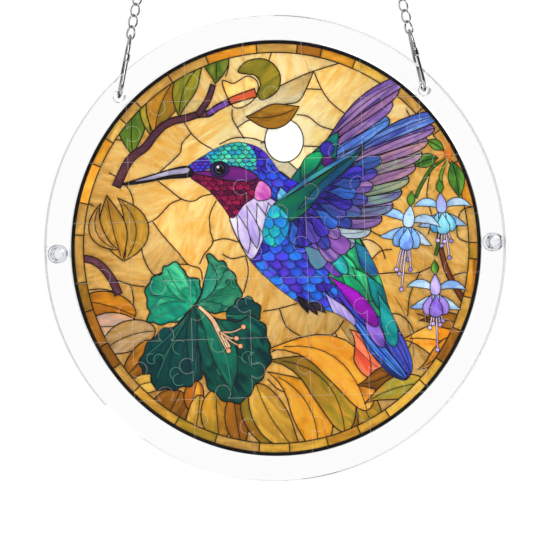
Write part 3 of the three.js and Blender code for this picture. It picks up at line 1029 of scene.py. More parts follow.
# Each feather: base x and z, tip x and z, width, bend, tones
FAR_WING = [
    (16, 30, 48.5, 48.0, 8.0, 1.5, PERIWINKLE),
    (16, 32, 50.5, 54.0, 8.2, 2.0, (0x4A6CC4, 0x7668B8, 0x5A92DC)),
    (17, 34, 52.0, 61.5, 9.4, 3.0, MAUVE),
    (18, 37, 55.0, 67.5, 9.0, 3.5, ROSE),
    (19, 40, 59.0, 71.5, 6.6, 4.0, MAUVE),
]
NEAR_WING = [
    (8, 11, 34, 1.0, 8.0, -1.2, MIST),
    (9, 12, 41.0, 6.6, 8.4, -1.0, MIST),
    (10, 13, 46.0, 11.6, 8.4, -0.8, MAUVE),
    (12, 15, 51.0, 17.2, 8.4, -0.4, (0x74589C, 0x9C7EB0, 0x6C7C9C)),
    (13, 17, 55.0, 22.8, 8.4, 0.3, (0x5470AC, 0x86A894, 0x6E62A8)),
    (14, 19, 58.4, 28.2, 8.4, 0.8, SAGE),
    (15, 21, 61.4, 33.6, 8.4, 1.2, ROSE),
    (17, 24, 64.4, 39.0, 8.4, 1.6, (0xAC8688, 0x8E9C7C, 0x9A6E9C)),
    (20, 27, 67.2, 44.4, 8.0, 2.0, (0x86609C, 0xB48488, 0x70549C)),
    (24, 31, 70.2, 49.8, 7.4, 2.2, MAUVE),
    (28, 35, 73.2, 55.6, 6.6, 2.6, PERIWINKLE),
]
TAIL = [
    (43, -14, 58, -52, 10, 2.0, OCEAN),
    (38, -22, 57, -56, 8, 1.0, (0x5A4AC0, 0x3A54C8)),
    (20, -18, 55.0, -60, 10, -3.6, OCEAN),
    (26, -22, 55.0, -58, 5, -1.0, (0x2F5CC8, 0x4A8AE4)),
]
FEET = [
    (8, -21, 12.6, -28.4, 3.0, 0.5, (0x16121E, 0x2C2634)),
    (11, -23, 16.6, -29.4, 3.0, 0.5, (0x16121E, 0x2C2634)),
    (14, -24, 20.2, -28.6, 3.0, 0.5, (0x16121E, 0x2C2634)),
]
RUMP = [
    (29, 5, 37, -10, 8, 0.5, EMERALD),
    (33, 2, 43, -13, 8, 0.8, (0x2448A4, 0x1C7C8C)),
    (26, -1, 33, -16, 7, 0.3, (0x38C87C, 0x22B094)),
    (32, -9, 43, -24, 8, 0.6, EMERALD),
    (38, -12, 47, -29, 7, 0.6, TEAL),
    (26, -9, 38, -27, 7, 0.8, (0x1FB06C, 0x5CD88C, 0x129060)),
]
FLANK = [
    (36, -24, 45, -44, 6.0, -0.4, VIOLET),
    (43, -20, 49.6, -44, 6.5, 0.8, TEAL),
    (21.5, -12.5, 42.5, -35, 6.8, 1.5, MAGENTA),
    (20, -19.5, 33, -34, 5.6, -0.8, LILAC),
    (13, 3, 27, -13, 7.0, 1.2, VIOLET),
    (19.5, 1, 30, -12, 5.6, 0.5, TEAL),
]
BREAST = [
    (-17.6, 16, -13.0, -2, 4.8, 0.5, LILAC),
    (-13, 18.5, -9.0, 0, 4.8, 0.5, (0xB49AE8, 0xE6DAF8)),
    (-8.6, 19.5, -5.6, 6, 4.8, 0.5, SNOW),
    (-3.6, 19.5, -2.4, 11, 4.8, 0.5, SNOW),
]
TERTIALS = [
    (8, 4, 20, -8.5, 7.6, 0.4, (0x4E8C9C, 0x6A84A8)),
    (11, 8, 26.0, -5.5, 7.6, 0.4, MAUVE),
    (13, 10, 31, -2.0, 7.6, 0.3, (0x7A44A4, 0x9860B8)),
]

# Each covert: base x and z, tip x and z, width, tones
COVERTS = [
    (12, 12, 22, -1.0, 5.6, DUSK),
    (15, 14, 27, 3.6, 5.6, MAUVE),
    (17, 16, 32.5, 8.6, 5.6, DUSK),
    (19, 18, 37, 13.6, 5.6, (0x4A4C9C, 0x6C5CB0, 0x3C6C9C)),
    (21, 21, 40, 19.4, 5.6, DUSK),
    (23, 24, 42.5, 25.4, 5.6, MAUVE),
    (25, 27, 44.5, 31.4, 5.6, DUSK),
    (28, 31, 46.5, 37.0, 5.4, (0x3E4CA0, 0x5C54B4, 0x2E62A4)),
    (6, 13, 8.5, 1, 6.0, OCEAN),
    (9, 13, 12, 0.0, 6.0, INDIGO),
    (11, 14, 17, 1.6, 6.0, DUSK),
    (13, 15, 21.5, 4.6, 6.0, INDIGO),
    (15, 17, 26, 8.4, 6.0, OCEAN),
    (17, 19, 30, 12.6, 6.0, DUSK),
    (19, 21, 33, 17.4, 6.0, INDIGO),
    (21, 23.5, 35, 22.4, 6.0, OCEAN),
    (23, 26, 37, 27.4, 5.8, DUSK),
    (26, 29, 39, 32.0, 5.6, INDIGO),
]


def draw_vanes(art, feather, loop, tone):
    """The fine lines on both sides of a feather's shaft."""
    x, z, tip_x, tip_z, width, bend, _ = feather
    for side in (-0.3, 0.3):
        vane = bent_line((x, z), (tip_x, tip_z), bend + side * width, even(12))
        art.line(vane[3:-1], 0.2, tone, within=loop)


def draw_feather(art, feather):
    """A long blunt feather with its shaft."""
    x, z, tip_x, tip_z, width, bend, tones = feather
    loop, spine = blade((x, z), (tip_x, tip_z), width, bend, 0.66, 18, 0.3)
    art.area(loop, tones, math.atan2(tip_z - z, tip_x - x), pace=0.8, lean=0.02)
    art.line(spine[3:-1], art.sizes.fine_lead)
    draw_vanes(art, feather, loop, (0.2, 0.14, 0.34))


def draw_scales(art, region, low, high, radius, tones, squash=0.8, turn=-1.0, lean=0.07):
    """Rows of overlapped scales that fill a region."""
    row = 0
    z = low[1]
    while z <= high[1]:
        x = low[0] + (radius * 0.85 if row % 2 else 0)
        while x <= high[0]:
            loop = []
            for k in range(12):
                angle = 2 * math.pi * k / 12
                wave = 1 + 0.08 * math.sin(3 * angle + row + x)
                across = radius * wave * math.cos(angle)
                loop.append((x + across, z + radius * squash * wave * math.sin(angle)))
            art.area(loop, tones, turn, art.sizes.fine_lead * 0.8, 1.5, lean, region)
            x += radius * 1.7
        z += radius * 0.95 * squash / 0.8
        row += 1


def draw_bird(art):
    """A small long-beaked bird in flight, seen from its left side."""
    fine = art.sizes.fine_lead
    for feather in FAR_WING:
        draw_feather(art, feather)
    far_arm = flowing([(6, 27), (13, 37), (20, 43.5), (27.5, 49), (27, 41), (25, 33), (16, 26)], True)
    art.area(far_arm, (0x0C6E66, 0x128A78, 0x0A4C60), 0.8)
    small = [(11, 29, 22, 41, 6.5, 1.5, EMERALD), (16, 28, 26, 38, 6, -0.5, EMERALD)]
    draw_blades(art, small, 0.8, lean=0.04)
    art.area(round_loop(22.8, 42.0, 3.2, 14), INDIGO, 0.8, fine)
    art.area(round_loop(23.2, 36.2, 2.7, 14), PLUM, 0.8, fine)

    body = [(-22, 30), (-19.8, 14), (-16.6, 5.5), (-13.6, -2.5), (-8.6, -9), (-2.5, -15), (4.8, -21)]
    body += [(13, -26), (20, -27), (27, -30), (33, -35), (39, -45.5), (47, -55), (54, -58.4), (57.4, -53)]
    body += [(55, -43), (48.6, -29), (45, -16), (41, -6), (34, 6), (24, 16), (14, 24), (8, 28), (-2, 34)]
    body = flowing(body, True, 5)
    art.area(body, ROYAL, -0.8, lead=0.6)
    draw_scales(art, body, (-18, -27), (24, 17), 3.4, ROYAL, 0.85)
    for feather in TAIL:
        x, z, tip_x, tip_z, width, bend, tones = feather
        loop, spine = blade((x, z), (tip_x, tip_z), width, bend, 0.62, 16, 0.05)
        art.area(loop, tones, -1.1, within=body, lean=-0.01)
        art.line(spine[2:-1], fine, within=body)
        draw_vanes(art, feather, loop, (0.05, 0.08, 0.24))
    draw_blades(art, FEET, -0.8, 0.45)
    rump = [(22, -14), (26, -2), (33, 6), (38, -1), (44, -12), (47, -22), (49, -34), (41, -29), (31, -20)]
    rump = flowing(rump, True)
    art.area(rump, EMERALD, -1.0, within=body)
    draw_blades(art, RUMP, -1.0, 0.6, 0.1, pace=1.2, lean=-0.04, within=body)
    draw_blades(art, FLANK, -1.0, 0.6, 0.1, lean=-0.02, within=body)

    breast = [(-20.6, 15), (-13, 21.5), (-5, 22.4), (0.5, 18.6), (-3.6, 12), (-6, 4), (-11, -4.5)]
    breast = flowing(breast + [(-15.6, 1)], True)
    art.area(breast, SNOW, -1.1)
    draw_blades(art, BREAST, -1.2, 0.6, lean=-0.03, within=breast)
    nape = [(-16, 45), (-10, 44.4), (-5, 41.6), (-1, 36.6), (3, 31), (10, 27), (6, 22.6), (0, 23.6)]
    nape = flowing(nape + [(-6, 29), (-9, 37)], True)
    art.area(nape, NAPE, -0.8)
    draw_scales(art, nape, (-14, 22), (10, 45), 3.0, NAPE, 0.9)
    throat = [(-37, 31.6), (-31, 33.5), (-22, 31), (-13, 31.5), (-6.6, 29), (-7.4, 23.6), (-14, 19)]
    throat += [(-19.2, 13.4), (-23.4, 18.6), (-29, 25.4)]
    throat = flowing(throat, True)
    art.area(throat, CRIMSON, -0.6)
    draw_scales(art, throat, (-36, 14), (-6, 32), 2.0, CRIMSON, 0.9, -0.6, 0.1)
    patch = flowing([(-7, 29), (-2.6, 26), (-2.4, 21.6), (-7.6, 20.4), (-9.6, 23)], True)
    art.area(patch, (0xC84CB4, 0xF090D0), -0.8, fine)
    spots = ((2.0, 22.5), (5.4, 21), (0.5, 17), (-2.2, 12.6))
    collar = [(x, z + 3.6, x + 0.6, z - 4.4, 5.0, 0.4, AQUA) for x, z in spots]
    draw_blades(art, collar, -1.2, 0.55, lean=-0.05)
    crown = [(-38, 35.6), (-32, 39.6), (-25, 43.4), (-18, 45.4), (-12, 44.6), (-8.2, 39.4), (-9.4, 33.8)]
    crown += [(-14, 33.4), (-19, 35.4), (-27, 35), (-36, 33.2)]
    crown = flowing(crown, True)
    art.area(crown, CROWN, 0.3)
    draw_scales(art, crown, (-38, 33), (-8, 45.4), 1.75, CROWN, 0.85, 0.4, 0.12)
    brow = flowing([(-38, 35.6), (-34, 38.4), (-30, 39.6), (-28.0, 36.4), (-30, 34.2), (-36, 33.2)], True)
    art.area(brow, NAPE, 0.4, fine, within=crown)
    draw_scales(art, brow, (-38, 33), (-28, 40), 1.3, NAPE, 0.9, 0.4, 0.1)
    cheek = [(-36, 33), (-28, 34), (-20, 35.6), (-13, 34.2), (-7.6, 30.6), (-13, 28.8), (-20, 29.4)]
    art.area(flowing(cheek + [(-29, 31.4)], True), PLUM, -0.2)
    lid = [(-24.2 + 4.2 * x, 34.4 + 3.4 * z) for x, z in round_loop(0, 0, 1, 24)]
    art.area(lid, (0x241844, 0x3A2468), 0.0, fine)
    art.area(round_loop(-24.2, 34.5, 2.5, 18), (0x08060A, 0x100E16), 0.0, 0.26)
    art.line(round_loop(-24.2, 34.5, 1.7, 14)[:12], 0.22, (0.42, 0.42, 0.5))
    art.area(round_loop(-24.9, 35.3, 0.6, 10), (0xE4ECF8, 0xFFFFFF), 0.0, 0)
    beak = [(-37.4, 35.8), (-44, 35.2), (-53, 32.8), (-60, 30.9), (-67, 28.8), (-60, 29.0)]
    art.area(flowing(beak + [(-48, 30.8), (-36.4, 31.6)], True, 4), (0x100E14, 0x24202A), 0.1)
    ridge = [(-38, 35.2), (-46, 34.2), (-56, 31.5), (-61, 30.2), (-55, 30.6), (-46, 32.4), (-38.4, 33.2)]
    art.area(flowing(ridge, True, 4), (0xA89EC0, 0x7A7290, 0xCCC6DC), 0.1, 0)

    for feather in NEAR_WING:
        draw_feather(art, feather)
    under = [(2, 20), (14, 28), (27, 36), (34, 36), (34, 24), (27, 11), (18, 3), (9, 0), (4, 8)]
    art.area(flowing(under, True), INDIGO, 0.6)
    draw_blades(art, TERTIALS, -0.8, 0.76, 0.6)
    for x, z, tip_x, tip_z, width, tones in COVERTS:
        loop, spine = blade((x, z), (tip_x, tip_z), width, 0.4, 0.68, 14, 0.2)
        art.area(loop, tones, math.atan2(tip_z - z, tip_x - x), fine, lean=0.03)
        art.line(spine[4:-1], 0.22, (0.12, 0.1, 0.3), within=loop)
    arm = [(-1.5, 18), (6, 22.6), (15, 27.8), (26, 34.4), (38, 42.2), (37, 39), (29.5, 32), (20.5, 24)]
    arm = flowing(arm + [(13, 15.4), (4, 11)], True)
    art.area(arm, (0x0B7048, 0x148C64, 0x0A5C58), 0.55, lean=-0.012)
    inner = blade((9, 16), (37.5, 40.5), 6.0, -1.0, 0.5)[0]
    art.area(inner, (0x124A70, 0x167078, 0x1C3078), 0.65, fine, within=arm)
    art.area(blade((-2, 18), (39, 42), 2.0, 1.2, 0.5)[0], (0x6CC8B8, 0x3A9CA0, 0x2A5CA4), 0.6, 0.26)
    shoulder = flowing([(-1.2, 18.4), (5, 13), (4, 5), (-1, 0.5), (-6, 4), (-5, 12)], True)
    art.area(shoulder, TEAL, -1.1)
    draw_scales(art, shoulder, (-6, 0), (6, 18), 3.0, (0x1C9CCC, 0x22BCB4, 0x2470D0), 1.1)


def draw_border(art, dice):
    """A band of gold and brown segments."""
    outer = art.radius - art.sizes.rim
    inner = outer - art.sizes.band
    start = 0.0
    tones = [HONEY, TAWNY, BRONZE, ORANGE, (0xD0A24A, 0xB8863C), UMBER]
    while start < 2 * math.pi - 0.05:
        end = min(start + dice.uniform(0.11, 0.26), 2 * math.pi)
        steps = max(3, int((end - start) / 0.03))
        turns = [start + (end - start) * k / steps for k in range(steps + 1)]
        loop = [(outer * math.cos(t), outer * math.sin(t)) for t in turns]
        loop += [(inner * math.cos(t), inner * math.sin(t)) for t in reversed(turns)]
        art.area(loop, dice.choice(tones), (start + end) / 2 + math.pi / 2)
        start = end


def draw_rim(art):
    """The black line round the whole picture."""
    loop = round_loop(0, 0, art.radius - art.sizes.rim / 2 + 0.2, 180)
    art.line(loop + loop[:2], art.sizes.rim + 0.4, art.sizes.rim_tone)


def draw_picture(art, dice):
    """Every figure, from the back of the picture to its front."""
    draw_background(art)
    for leaf in LEFT_LEAVES + UPPER_LEAVES:
        draw_leaf(art, leaf)
    for leaf in LOWER_LEAVES:
        draw_leaf(art, leaf, None, 0.6, 0.02)
    draw_stems(art)
    draw_border(art, dice)
    draw_branch(art)
    draw_bloom(art)
    draw_bells(art)
    draw_bird(art)
    draw_rim(art)


# The picture's panes


class Panes:
    """The picture cut into triangles, with the tones of each pane of glass."""

    JITTER = 0.25
    LEVELS = (0.9, 1.14)
    WARMTHS = (-0.5, 0.9)
    RIM_LEVEL = 0.74
    INNER_LEVEL = 1.08
    STREAK_ALONG = 0.06
    STREAK_ACROSS = 0.2
    STREAK_APART = 1.37
    STREAK_RUNS = 97

    def __init__(self, art, outlines, dice):
        self.art = art
        disc = len(outlines)
        for number, loop in enumerate(outlines + [round_loop(0, 0, art.radius, DISC_STEPS)]):
            art._face(loop, -1 - number)
        count = int(art.radius / GRAIN)
        for row in range(-count, count + 1):
            for column in range(-count, count + 1):
                x = (column + 0.5 * (row % 2) + dice.uniform(-self.JITTER, self.JITTER)) * GRAIN
                z = (row + dice.uniform(-self.JITTER, self.JITTER)) * GRAIN
                if math.hypot(x, z) < art.radius - 1:
                    art.points.append(Vector((x, z)))
        found = delaunay_2d_cdt(art.points, [], art.faces, 0, 1e-5)
        self.points = found[0]
        self.triangles = found[2]
        self.top = []
        self.piece = []
        for triangle, cover in zip(self.triangles, found[5]):
            centre = sum((self.points[corner] for corner in triangle), Vector((0, 0))) / 3
            held = {art.owners[face]: face for face in cover}
            shown = (o for o in sorted(held, reverse=True) if o <= 0 or art.shows(o, held[o], centre))
            self.top.append(next(shown, -1))
            numbers = [-1 - owner for owner in held if owner < 0]
            pieces = [number for number in numbers if number != disc]
            self.piece.append(pieces[0] if pieces and disc in numbers else None)
        self._flood()
        self._rims()
        self._tones(dice)

    def _flood(self):
        """Joins triangles of one item into panes."""
        by_edge = {}
        for number, (a, b, c) in enumerate(self.triangles):
            for edge in ((a, b), (b, c), (c, a)):
                by_edge.setdefault((min(edge), max(edge)), []).append(number)
        beside = [[] for _ in self.triangles]
        for pair in by_edge.values():
            if len(pair) == 2:
                beside[pair[0]].append(pair[1])
                beside[pair[1]].append(pair[0])
        self.pane = [None] * len(self.triangles)
        self.panes = []
        for first, top in enumerate(self.top):
            if self.pane[first] is not None or top < 0:
                continue
            members = [first]
            self.pane[first] = len(self.panes)
            for number in members:
                for other in beside[number]:
                    if self.pane[other] is None and self.top[other] == top:
                        self.pane[other] = len(self.panes)
                        members.append(other)
            self.panes.append(members)

    def _rims(self):
        """Finds the corners where two panes meet. Glass is darker there than inside a pane."""
        found = [set() for _ in self.points]
        for triangle, pane in zip(self.triangles, self.pane):
            for corner in triangle:
                found[corner].add(pane)
        self.rim = [len(panes) > 1 for panes in found]

    def _tones(self, dice):
        """Gives each pane two tones, a lean from dark to light and the run of its streaks."""
        self.looks = []
        for number, members in enumerate(self.panes):
            item = self.art.items[self.top[members[0]]]
            if "line" in item:
                self.looks.append((linear(item["line"]),))
                continue
            spots = [self.points[corner] for member in members for corner in self.triangles[member]]
            centre = sum(spots, Vector((0, 0))) / len(spots)
            level = dice.uniform(*self.LEVELS)
            warmth = 0.0
            turn = dice.uniform(0, 2 * math.pi)
            lean = Vector((math.cos(turn), math.sin(turn))) * 0.01
            if item["tones"] == "glow":
                tones = None
                warmth = dice.uniform(*self.WARMTHS)
                along = math.atan2(centre.y - GLOW[1], centre.x - GLOW[0]) + dice.uniform(-0.7, 0.7)
            else:
                tones = [linear(tone) for tone in dice.sample(list(item["tones"]), 2)]
                along = item["along"] + dice.uniform(-0.2, 0.2)
                lean += Vector((math.cos(item["along"]), math.sin(item["along"]))) * item["lean"]
            run = 1 + number % self.STREAK_RUNS
            self.looks.append((tones, warmth, level, lean, centre, along, item["pace"], run))

    def corner(self, pane, corner):
        """The two tones and the streak vector of a pane at one corner of a triangle."""
        look = self.looks[pane]
        if len(look) == 1:
            return look[0], look[0], (0.0, 0.0, 0.0)
        tones, warmth, level, lean, centre, along, pace, run = look
        place = self.points[corner]
        tones = tones or glow_tones(place, warmth)
        slope = level * min(max(1 + lean.dot(place - centre), 0.6), 1.5)
        slope *= self.RIM_LEVEL if self.rim[corner] else self.INNER_LEVEL
        u = place.x * math.cos(along) + place.y * math.sin(along)
        v = place.y * math.cos(along) - place.x * math.sin(along)
        along_glass = u * self.STREAK_ALONG * pace
        streak = (along_glass, v * self.STREAK_ACROSS * pace, run * self.STREAK_APART)
        first, second = (tuple(c * slope for c in tone) for tone in tones)
        return first, second, streak


def puzzle_mesh(name, panes, number, front, back, edge_tone, material):
    """One jigsaw piece: the picture on both faces and a plain edge."""
    members = [k for k, piece in enumerate(panes.piece) if piece == number]
    corners = sorted({corner for k in members for corner in panes.triangles[k]})
    local = {corner: k for k, corner in enumerate(corners)}
    count = len(corners)
    flat_points = [(DISC.x + panes.points[c].x * MM, DISC.z + panes.points[c].y * MM) for c in corners]
    points = [(x, front, z) for x, z in flat_points] + [(x, back, z) for x, z in flat_points]
    faces = []
    looks = []
    borders = {}
    for k in members:
        triangle = panes.triangles[k]
        face = [local[corner] for corner in triangle]
        look = [panes.corner(panes.pane[k], corner) for corner in triangle]
        faces.append(face)
        looks += look
        faces.append([corner + count for corner in reversed(face)])
        looks += reversed(look)
        for a, b in zip(face, face[1:] + face[:1]):
            if (b, a) in borders:
                del borders[(b, a)]
            else:
                borders[(a, b)] = True
    edge = (edge_tone, edge_tone, (0.0, 0.0, 0.0))
    for a, b in borders:
        faces.append([a, a + count, b + count, b])
        looks += [edge] * 4
    made = add_mesh(name, points, faces, material)
    mesh = made.data
    for layer, (key, kind, size) in enumerate(
        (("picture", "FLOAT_COLOR", 4), ("picture_second", "FLOAT_COLOR", 4), ("streak", "FLOAT_VECTOR", 3))
    ):
        values = []
        for look in looks:
            values += look[layer]
            if size == 4:
                values.append(1.0)
        store = mesh.attributes.new(key, kind, "CORNER")
        store.data.foreach_set("color" if size == 4 else "vector", values)
    return made


# Operators, one for each piece or group of like pieces


class SUNCATCHER_OT_clear_layers(bpy.types.Operator):
    """Adds the clear front and back discs and the clear ring between them"""

    bl_idname = "suncatcher.clear_layers"
    bl_label = "Clear layers"

    def execute(self, context):
        sizes = context.scene.suncatcher_clear
        material = clear_acrylic("clear_acrylic", sizes.tint, 0.012)
        low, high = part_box("front_plate")
        radius = (high[0] - low[0]) / 2
        reach = radius - (sizes.hanger_hole_edge + sizes.hanger_hole / 2) * MM
        holes = []
        for side in (-1, 1):
            holes.append((side * reach * math.sqrt(0.5), reach * math.sqrt(0.5), sizes.hanger_hole / 2 * MM))
            holes.append((side * (radius - sizes.margin / 2 * MM), 0.0, sizes.rivet_hole / 2 * MM))
        shift = Matrix.Translation(DISC)
        for node in ("front_plate", "middle_ring", "back_plate"):
            low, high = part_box(node)
            openings = list(holes)
            if node == "middle_ring":
                openings.append((0.0, 0.0, radius - sizes.margin * MM))
            points, faces = pierced_disc(radius, openings, low[1], high[1], sizes.chamfer * MM)
            made = add_mesh(f"clear_{node}", placed(points, shift), faces, material)
            stand_for(made, node)
        return {"FINISHED"}


class SUNCATCHER_OT_puzzle(bpy.types.Operator):
    """Adds the jigsaw pieces with their stained-glass style picture"""

    bl_idname = "suncatcher.puzzle"
    bl_label = "Puzzle picture"

    def execute(self, context):
        sizes = context.scene.suncatcher_puzzle
        drawing = context.scene.suncatcher_picture
        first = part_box("puzzle_piece_r4_c1")
        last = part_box("puzzle_piece_r4_c7")
        jigsaw = Jigsaw(sizes, (last[1][0] - first[0][0]) / 2 / MM)
        dice = random.Random(drawing.seed)
        art = Art(drawing, jigsaw.radius)
        draw_picture(art, dice)
        cells = jigsaw.cells()
        panes = Panes(art, [jigsaw.outline(*cell) for cell in cells], dice)
        material = printed_acrylic()
        edge = linear(sizes.edge)
        for number, cell in enumerate(cells):
            node = jigsaw.name(*cell)
            low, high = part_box(node)
            made = puzzle_mesh(f"picture_{node}", panes, number, low[1], high[1], edge, material)
            stand_for(made, node)
        return {"FINISHED"}


# The rounding of a rivet's dimple and of its head, each as metres inwards and metres down
RIVET_DIMPLE_DEPTH = 0.0004
RIVET_DIMPLE = [(0.0006, RIVET_DIMPLE_DEPTH), (0.0002, 0.0003), (0.0, 0.0)]
RIVET_EDGE = [(0.0008, 0.0), (0.0004, 0.0001), (0.0001, 0.0004), (0.0, 0.0008)]


class SUNCATCHER_OT_rivets(bpy.types.Operator):
    """Adds the two clear snap rivets"""

    bl_idname = "suncatcher.rivets"
    bl_label = "Rivets"

    def execute(self, context):
        sizes = context.scene.suncatcher_clear
        material = clear_acrylic("clear_rivet", sizes.rivet_tint, 0.05)
        head = sizes.rivet_head / 2 * MM
        shank = sizes.rivet_shank / 2 * MM
        dimple = sizes.rivet_dimple / 2 * MM
        for side in ("left", "right"):
            low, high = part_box(f"{side}_rivet")
            top = (high[1] - low[1]) / 2
            seat = top - sizes.rivet_rise * MM
            half = [(0.0, top - RIVET_DIMPLE_DEPTH)]
            half += [(dimple - inset, top - drop) for inset, drop in RIVET_DIMPLE]
            half += [(head - inset, top - drop) for inset, drop in RIVET_EDGE]
            half += [(head, seat), (shank, seat)]
            profile = [(radius, -depth) for radius, depth in half]
            profile += [(radius, depth) for radius, depth in reversed(half)]
            points, faces = revolve(profile, RIVET_STEPS)
            points = placed(points, Matrix.Translation(middle(f"{side}_rivet")))
            made = add_mesh(f"clear_{side}_rivet", points, faces, material)
            stand_for(made, f"{side}_rivet")
        return {"FINISHED"}


class Line:
    """The straight line from a hanger hole up to the top ring, which a hanger and a chain share."""

    def __init__(self, context):
        wires = context.scene.suncatcher_wire
        clear = context.scene.suncatcher_clear
        low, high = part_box("front_plate")
        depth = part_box("back_plate")[1][1] - low[1]
        reach = (high[0] - low[0]) / 2 / MM - clear.hanger_hole_edge - clear.hanger_hole / 2
        self.hole = reach * math.sqrt(0.5)
        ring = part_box("top_ring")
        ring_radius = (ring[1][2] - ring[0][2]) / 2 / MM - wires.ring_wire / 2
        ring_z = (ring[1][2] + ring[0][2]) / 2 / MM
        top = ring_z - math.sqrt(ring_radius**2 - wires.spread**2)
        self.hole_z = DISC.z / MM + self.hole
        self.tilt = math.atan2(self.hole - wires.spread, top - self.hole_z)
        self.bow = depth / MM / 2 + wires.hanger_gap + wires.hanger_wire / 2
        inner = self.bow - wires.hanger_wire / 2
        self.slim = (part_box("right_hanger")[1][1] / MM - wires.hanger_wire / 2) / self.bow
        rise = inner - math.sqrt(inner**2 - (depth / MM / 2) ** 2)
        self.drop = rise + wires.hanger_wire / 2 - (clear.hanger_hole / 2 - wires.hanger_seat)
        hanger_top = wires.hanger_length - wires.hanger_wire - self.drop
        self.chain_start = hanger_top - (wires.hanger_wire + wires.chain_wire) / 2 - wires.link_play

    def matrix(self, side):
        """From the line's own millimetres, Z along the line, to the object's metres."""
        turn = Matrix.Rotation(-side * self.tilt, 4, "Y")
        return Matrix.Scale(MM, 4) @ Matrix.Translation((side * self.hole, 0, self.hole_z)) @ turn


class SUNCATCHER_OT_hangers(bpy.types.Operator):
    """Adds the two wire hangers, each with its lapped ends"""

    bl_idname = "suncatcher.hangers"
    bl_label = "Hangers"

    def execute(self, context):
        sizes = context.scene.suncatcher_wire
        line = Line(context)
        material = bright_wire("hanger_wire", sizes.metal, 0.08)
        wire = sizes.hanger_wire
        reach = (sizes.hanger_length - wire) / 2
        bow = line.bow * line.slim
        straight = reach - bow
        narrow = (sizes.hanger_top - wire) / 2 / bow

        def spot(y, z):
            share = (z + reach) / (2 * reach)
            return Vector((0, y * (1 + share**2 * (narrow - 1)), z + reach - line.drop))

        loop = []
        for end in (-1, 1):
            for k in range(BOW_STEPS):
                turn = math.pi * k / BOW_STEPS
                loop.append(spot(end * bow * math.cos(turn), end * (straight + bow * math.sin(turn))))
            loop += [spot(-end * bow, -end * straight * (2 * k / LEG_STEPS - 1)) for k in range(LEG_STEPS)]
        hub = reach - line.drop
        for name, side in (("left", -1), ("right", 1)):
            points, faces = tube(loop, wire / 2, HANGER_SIDES, lambda place: Vector((0, 0, hub)))
            start = sizes.lap_height - sizes.lap_length / 2
            path = []
            radii = []
            for share in even(LAP_STEPS):
                z = start + sizes.lap_length * share - reach
                path.append(spot(-bow, z))
                radii.append(LAP_RADIUS * max(LAP_TIP, 1 - abs(2 * share - 1) ** 6) ** 0.5)
            join(points, faces, *tube(path, radii, HANGER_SIDES))
            points = placed(points, line.matrix(side))
            made = add_mesh(f"wire_{name}_hanger", points, faces, material, WIRE_CREASE)
            stand_for(made, f"{name}_hanger")
        return {"FINISHED"}


class SUNCATCHER_OT_chains(bpy.types.Operator):
    """Adds the two curb chains, link by link"""

    bl_idname = "suncatcher.chains"
    bl_label = "Chains"

    def execute(self, context):
        sizes = context.scene.suncatcher_wire
        line = Line(context)
        material = bright_wire("chain_wire", sizes.metal, 0.1)
        wire = sizes.chain_wire
        wide = (sizes.link_width - wire) / 2
        tall = (sizes.link_length - wire) / 2
        pitch = sizes.link_length - 2 * wire
        for name, side in (("left", -1), ("right", 1)):
            points = []
            faces = []
            for number in range(sizes.links):
                low = -math.pi / 4 if number else 0.0
                high = math.pi / 4 if number < sizes.links - 1 else -math.pi / 2
                centre = line.chain_start + tall + number * pitch
                path = []
                for k in range(LINK_STEPS):
                    turn = 2 * math.pi * k / LINK_STEPS
                    x = wide * math.copysign(abs(math.cos(turn)) ** 0.8, math.cos(turn))
                    z = tall * math.copysign(abs(math.sin(turn)) ** 0.9, math.sin(turn))
                    twist = low + (high - low) * (z / tall + 1) / 2
                    path.append(Vector((x * math.cos(twist), x * math.sin(twist), centre + z)))
                middle_z = Vector((0, 0, centre))
                join(points, faces, *tube(path, wire / 2, LINK_SIDES, lambda place: middle_z))
            points = placed(points, line.matrix(side))
            made = add_mesh(f"wire_{name}_chain", points, faces, material, WIRE_CREASE)
            stand_for(made, f"{name}_chain")
        return {"FINISHED"}


class SUNCATCHER_OT_top_ring(bpy.types.Operator):
    """Adds the ring that the two chains hang from"""

    bl_idname = "suncatcher.top_ring"
    bl_label = "Top ring"

    def execute(self, context):
        sizes = context.scene.suncatcher_wire
        low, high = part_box("top_ring")
        centre = middle("top_ring")
        radius = (high[2] - low[2]) / 2 - sizes.ring_wire / 2 * MM
        path = [centre + radius * Vector((x, 0, z)) for x, z in round_loop(0, 0, 1, RING_STEPS)]
        points, faces = tube(path, sizes.ring_wire / 2 * MM, RING_SIDES, lambda place: centre)
        material = bright_wire("ring_wire", sizes.metal, 0.14)
        made = add_mesh("wire_top_ring", points, faces, material, WIRE_CREASE)
        stand_for(made, "top_ring")
        return {"FINISHED"}


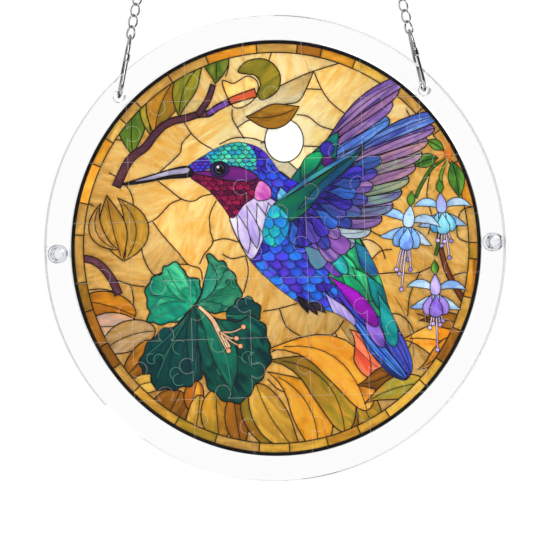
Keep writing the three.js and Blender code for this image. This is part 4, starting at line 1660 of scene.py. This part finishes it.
class SUNCATCHER_OT_stage(bpy.types.Operator):
    """Adds the floor, the light and the camera"""

    bl_idname = "suncatcher.stage"
    bl_label = "Stage"

    def execute(self, context):
        sizes = context.scene.suncatcher_stage
        scene = context.scene
        base = CAD_BOX[0][2] - sizes.drop * MM
        rim = round_loop(0, 0, sizes.radius * MM, FLOOR_STEPS)
        points = [(DISC.x, DISC.y, base)] + [(DISC.x + x, DISC.y + y, base) for x, y in rim]
        faces = [[0, 1 + k, 1 + (k + 1) % FLOOR_STEPS] for k in range(FLOOR_STEPS)]
        add_mesh("studio_floor", points, faces, studio_floor(sizes.floor))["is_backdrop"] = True

        scene.world = studio_light()
        scene.view_settings.view_transform = "Standard"

        for name, place, size, power in (
            ("key_light", (-0.7, -0.9, 0.6), 0.5, 5.0),
            ("back_light", (0.6, 0.8, 0.5), 0.6, 3.0),
        ):
            light = bpy.data.lights.new(name, "AREA")
            light.size = size
            light.energy = power
            lamp = bpy.data.objects.new(name, light)
            lamp.location = DISC + Vector(place)
            lamp.rotation_euler = (DISC - lamp.location).to_track_quat("-Z", "Y").to_euler()
            scene.collection.objects.link(lamp)

        camera = bpy.data.cameras.new("camera")
        camera.lens = sizes.lens
        camera.sensor_width = 36.0
        turn = math.radians(sizes.azimuth)
        towards = Vector((math.sin(turn), -math.cos(turn), 0))
        eye = bpy.data.objects.new("camera", camera)
        look = (-towards).to_track_quat("-Z", "Y").to_matrix()
        look = look @ Matrix.Rotation(math.radians(-sizes.roll), 3, "Z")
        eye.matrix_world = Matrix.Translation(
            DISC - Vector((sizes.aside, 0, sizes.below)) * MM + towards * sizes.distance * MM
        ) @ look.to_4x4()
        scene.collection.objects.link(eye)
        scene.camera = eye
        return {"FINISHED"}


class SUNCATCHER_PT_pieces(bpy.types.Panel):
    """Lists the pieces of the suncatcher"""

    bl_idname = "SUNCATCHER_PT_pieces"
    bl_label = "Puzzle suncatcher"
    bl_space_type = "VIEW_3D"
    bl_region_type = "UI"
    bl_category = "Suncatcher"

    def draw(self, context):
        for step in STEPS:
            self.layout.operator(step.bl_idname)
        for group in GROUPS:
            sizes = getattr(context.scene, group)
            for name in sizes.__annotations__:
                self.layout.prop(sizes, name)


STEPS = (
    SUNCATCHER_OT_stage,
    SUNCATCHER_OT_clear_layers,
    SUNCATCHER_OT_puzzle,
    SUNCATCHER_OT_rivets,
    SUNCATCHER_OT_hangers,
    SUNCATCHER_OT_chains,
    SUNCATCHER_OT_top_ring,
)
GROUPS = {
    "suncatcher_clear": ClearSizes,
    "suncatcher_puzzle": PuzzleSizes,
    "suncatcher_picture": PictureSizes,
    "suncatcher_wire": WireSizes,
    "suncatcher_stage": StageSizes,
}
CLASSES = (*GROUPS.values(), *STEPS, SUNCATCHER_PT_pieces)


def register():
    for kind in CLASSES:
        bpy.utils.register_class(kind)
    for name, group in GROUPS.items():
        setattr(bpy.types.Scene, name, bpy.props.PointerProperty(type=group))


def unregister():
    for name in GROUPS:
        delattr(bpy.types.Scene, name)
    for kind in reversed(CLASSES):
        bpy.utils.unregister_class(kind)


def main():
    register()
    for step in STEPS:
        area, name = step.bl_idname.split(".")
        getattr(getattr(bpy.ops, area), name)()
    boxes = {"cad": CAD_BOX, "visual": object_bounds()}
    sizes = {name: [list(corner) for corner in box] for name, box in boxes.items()}


if __name__ == "__main__":
    main()
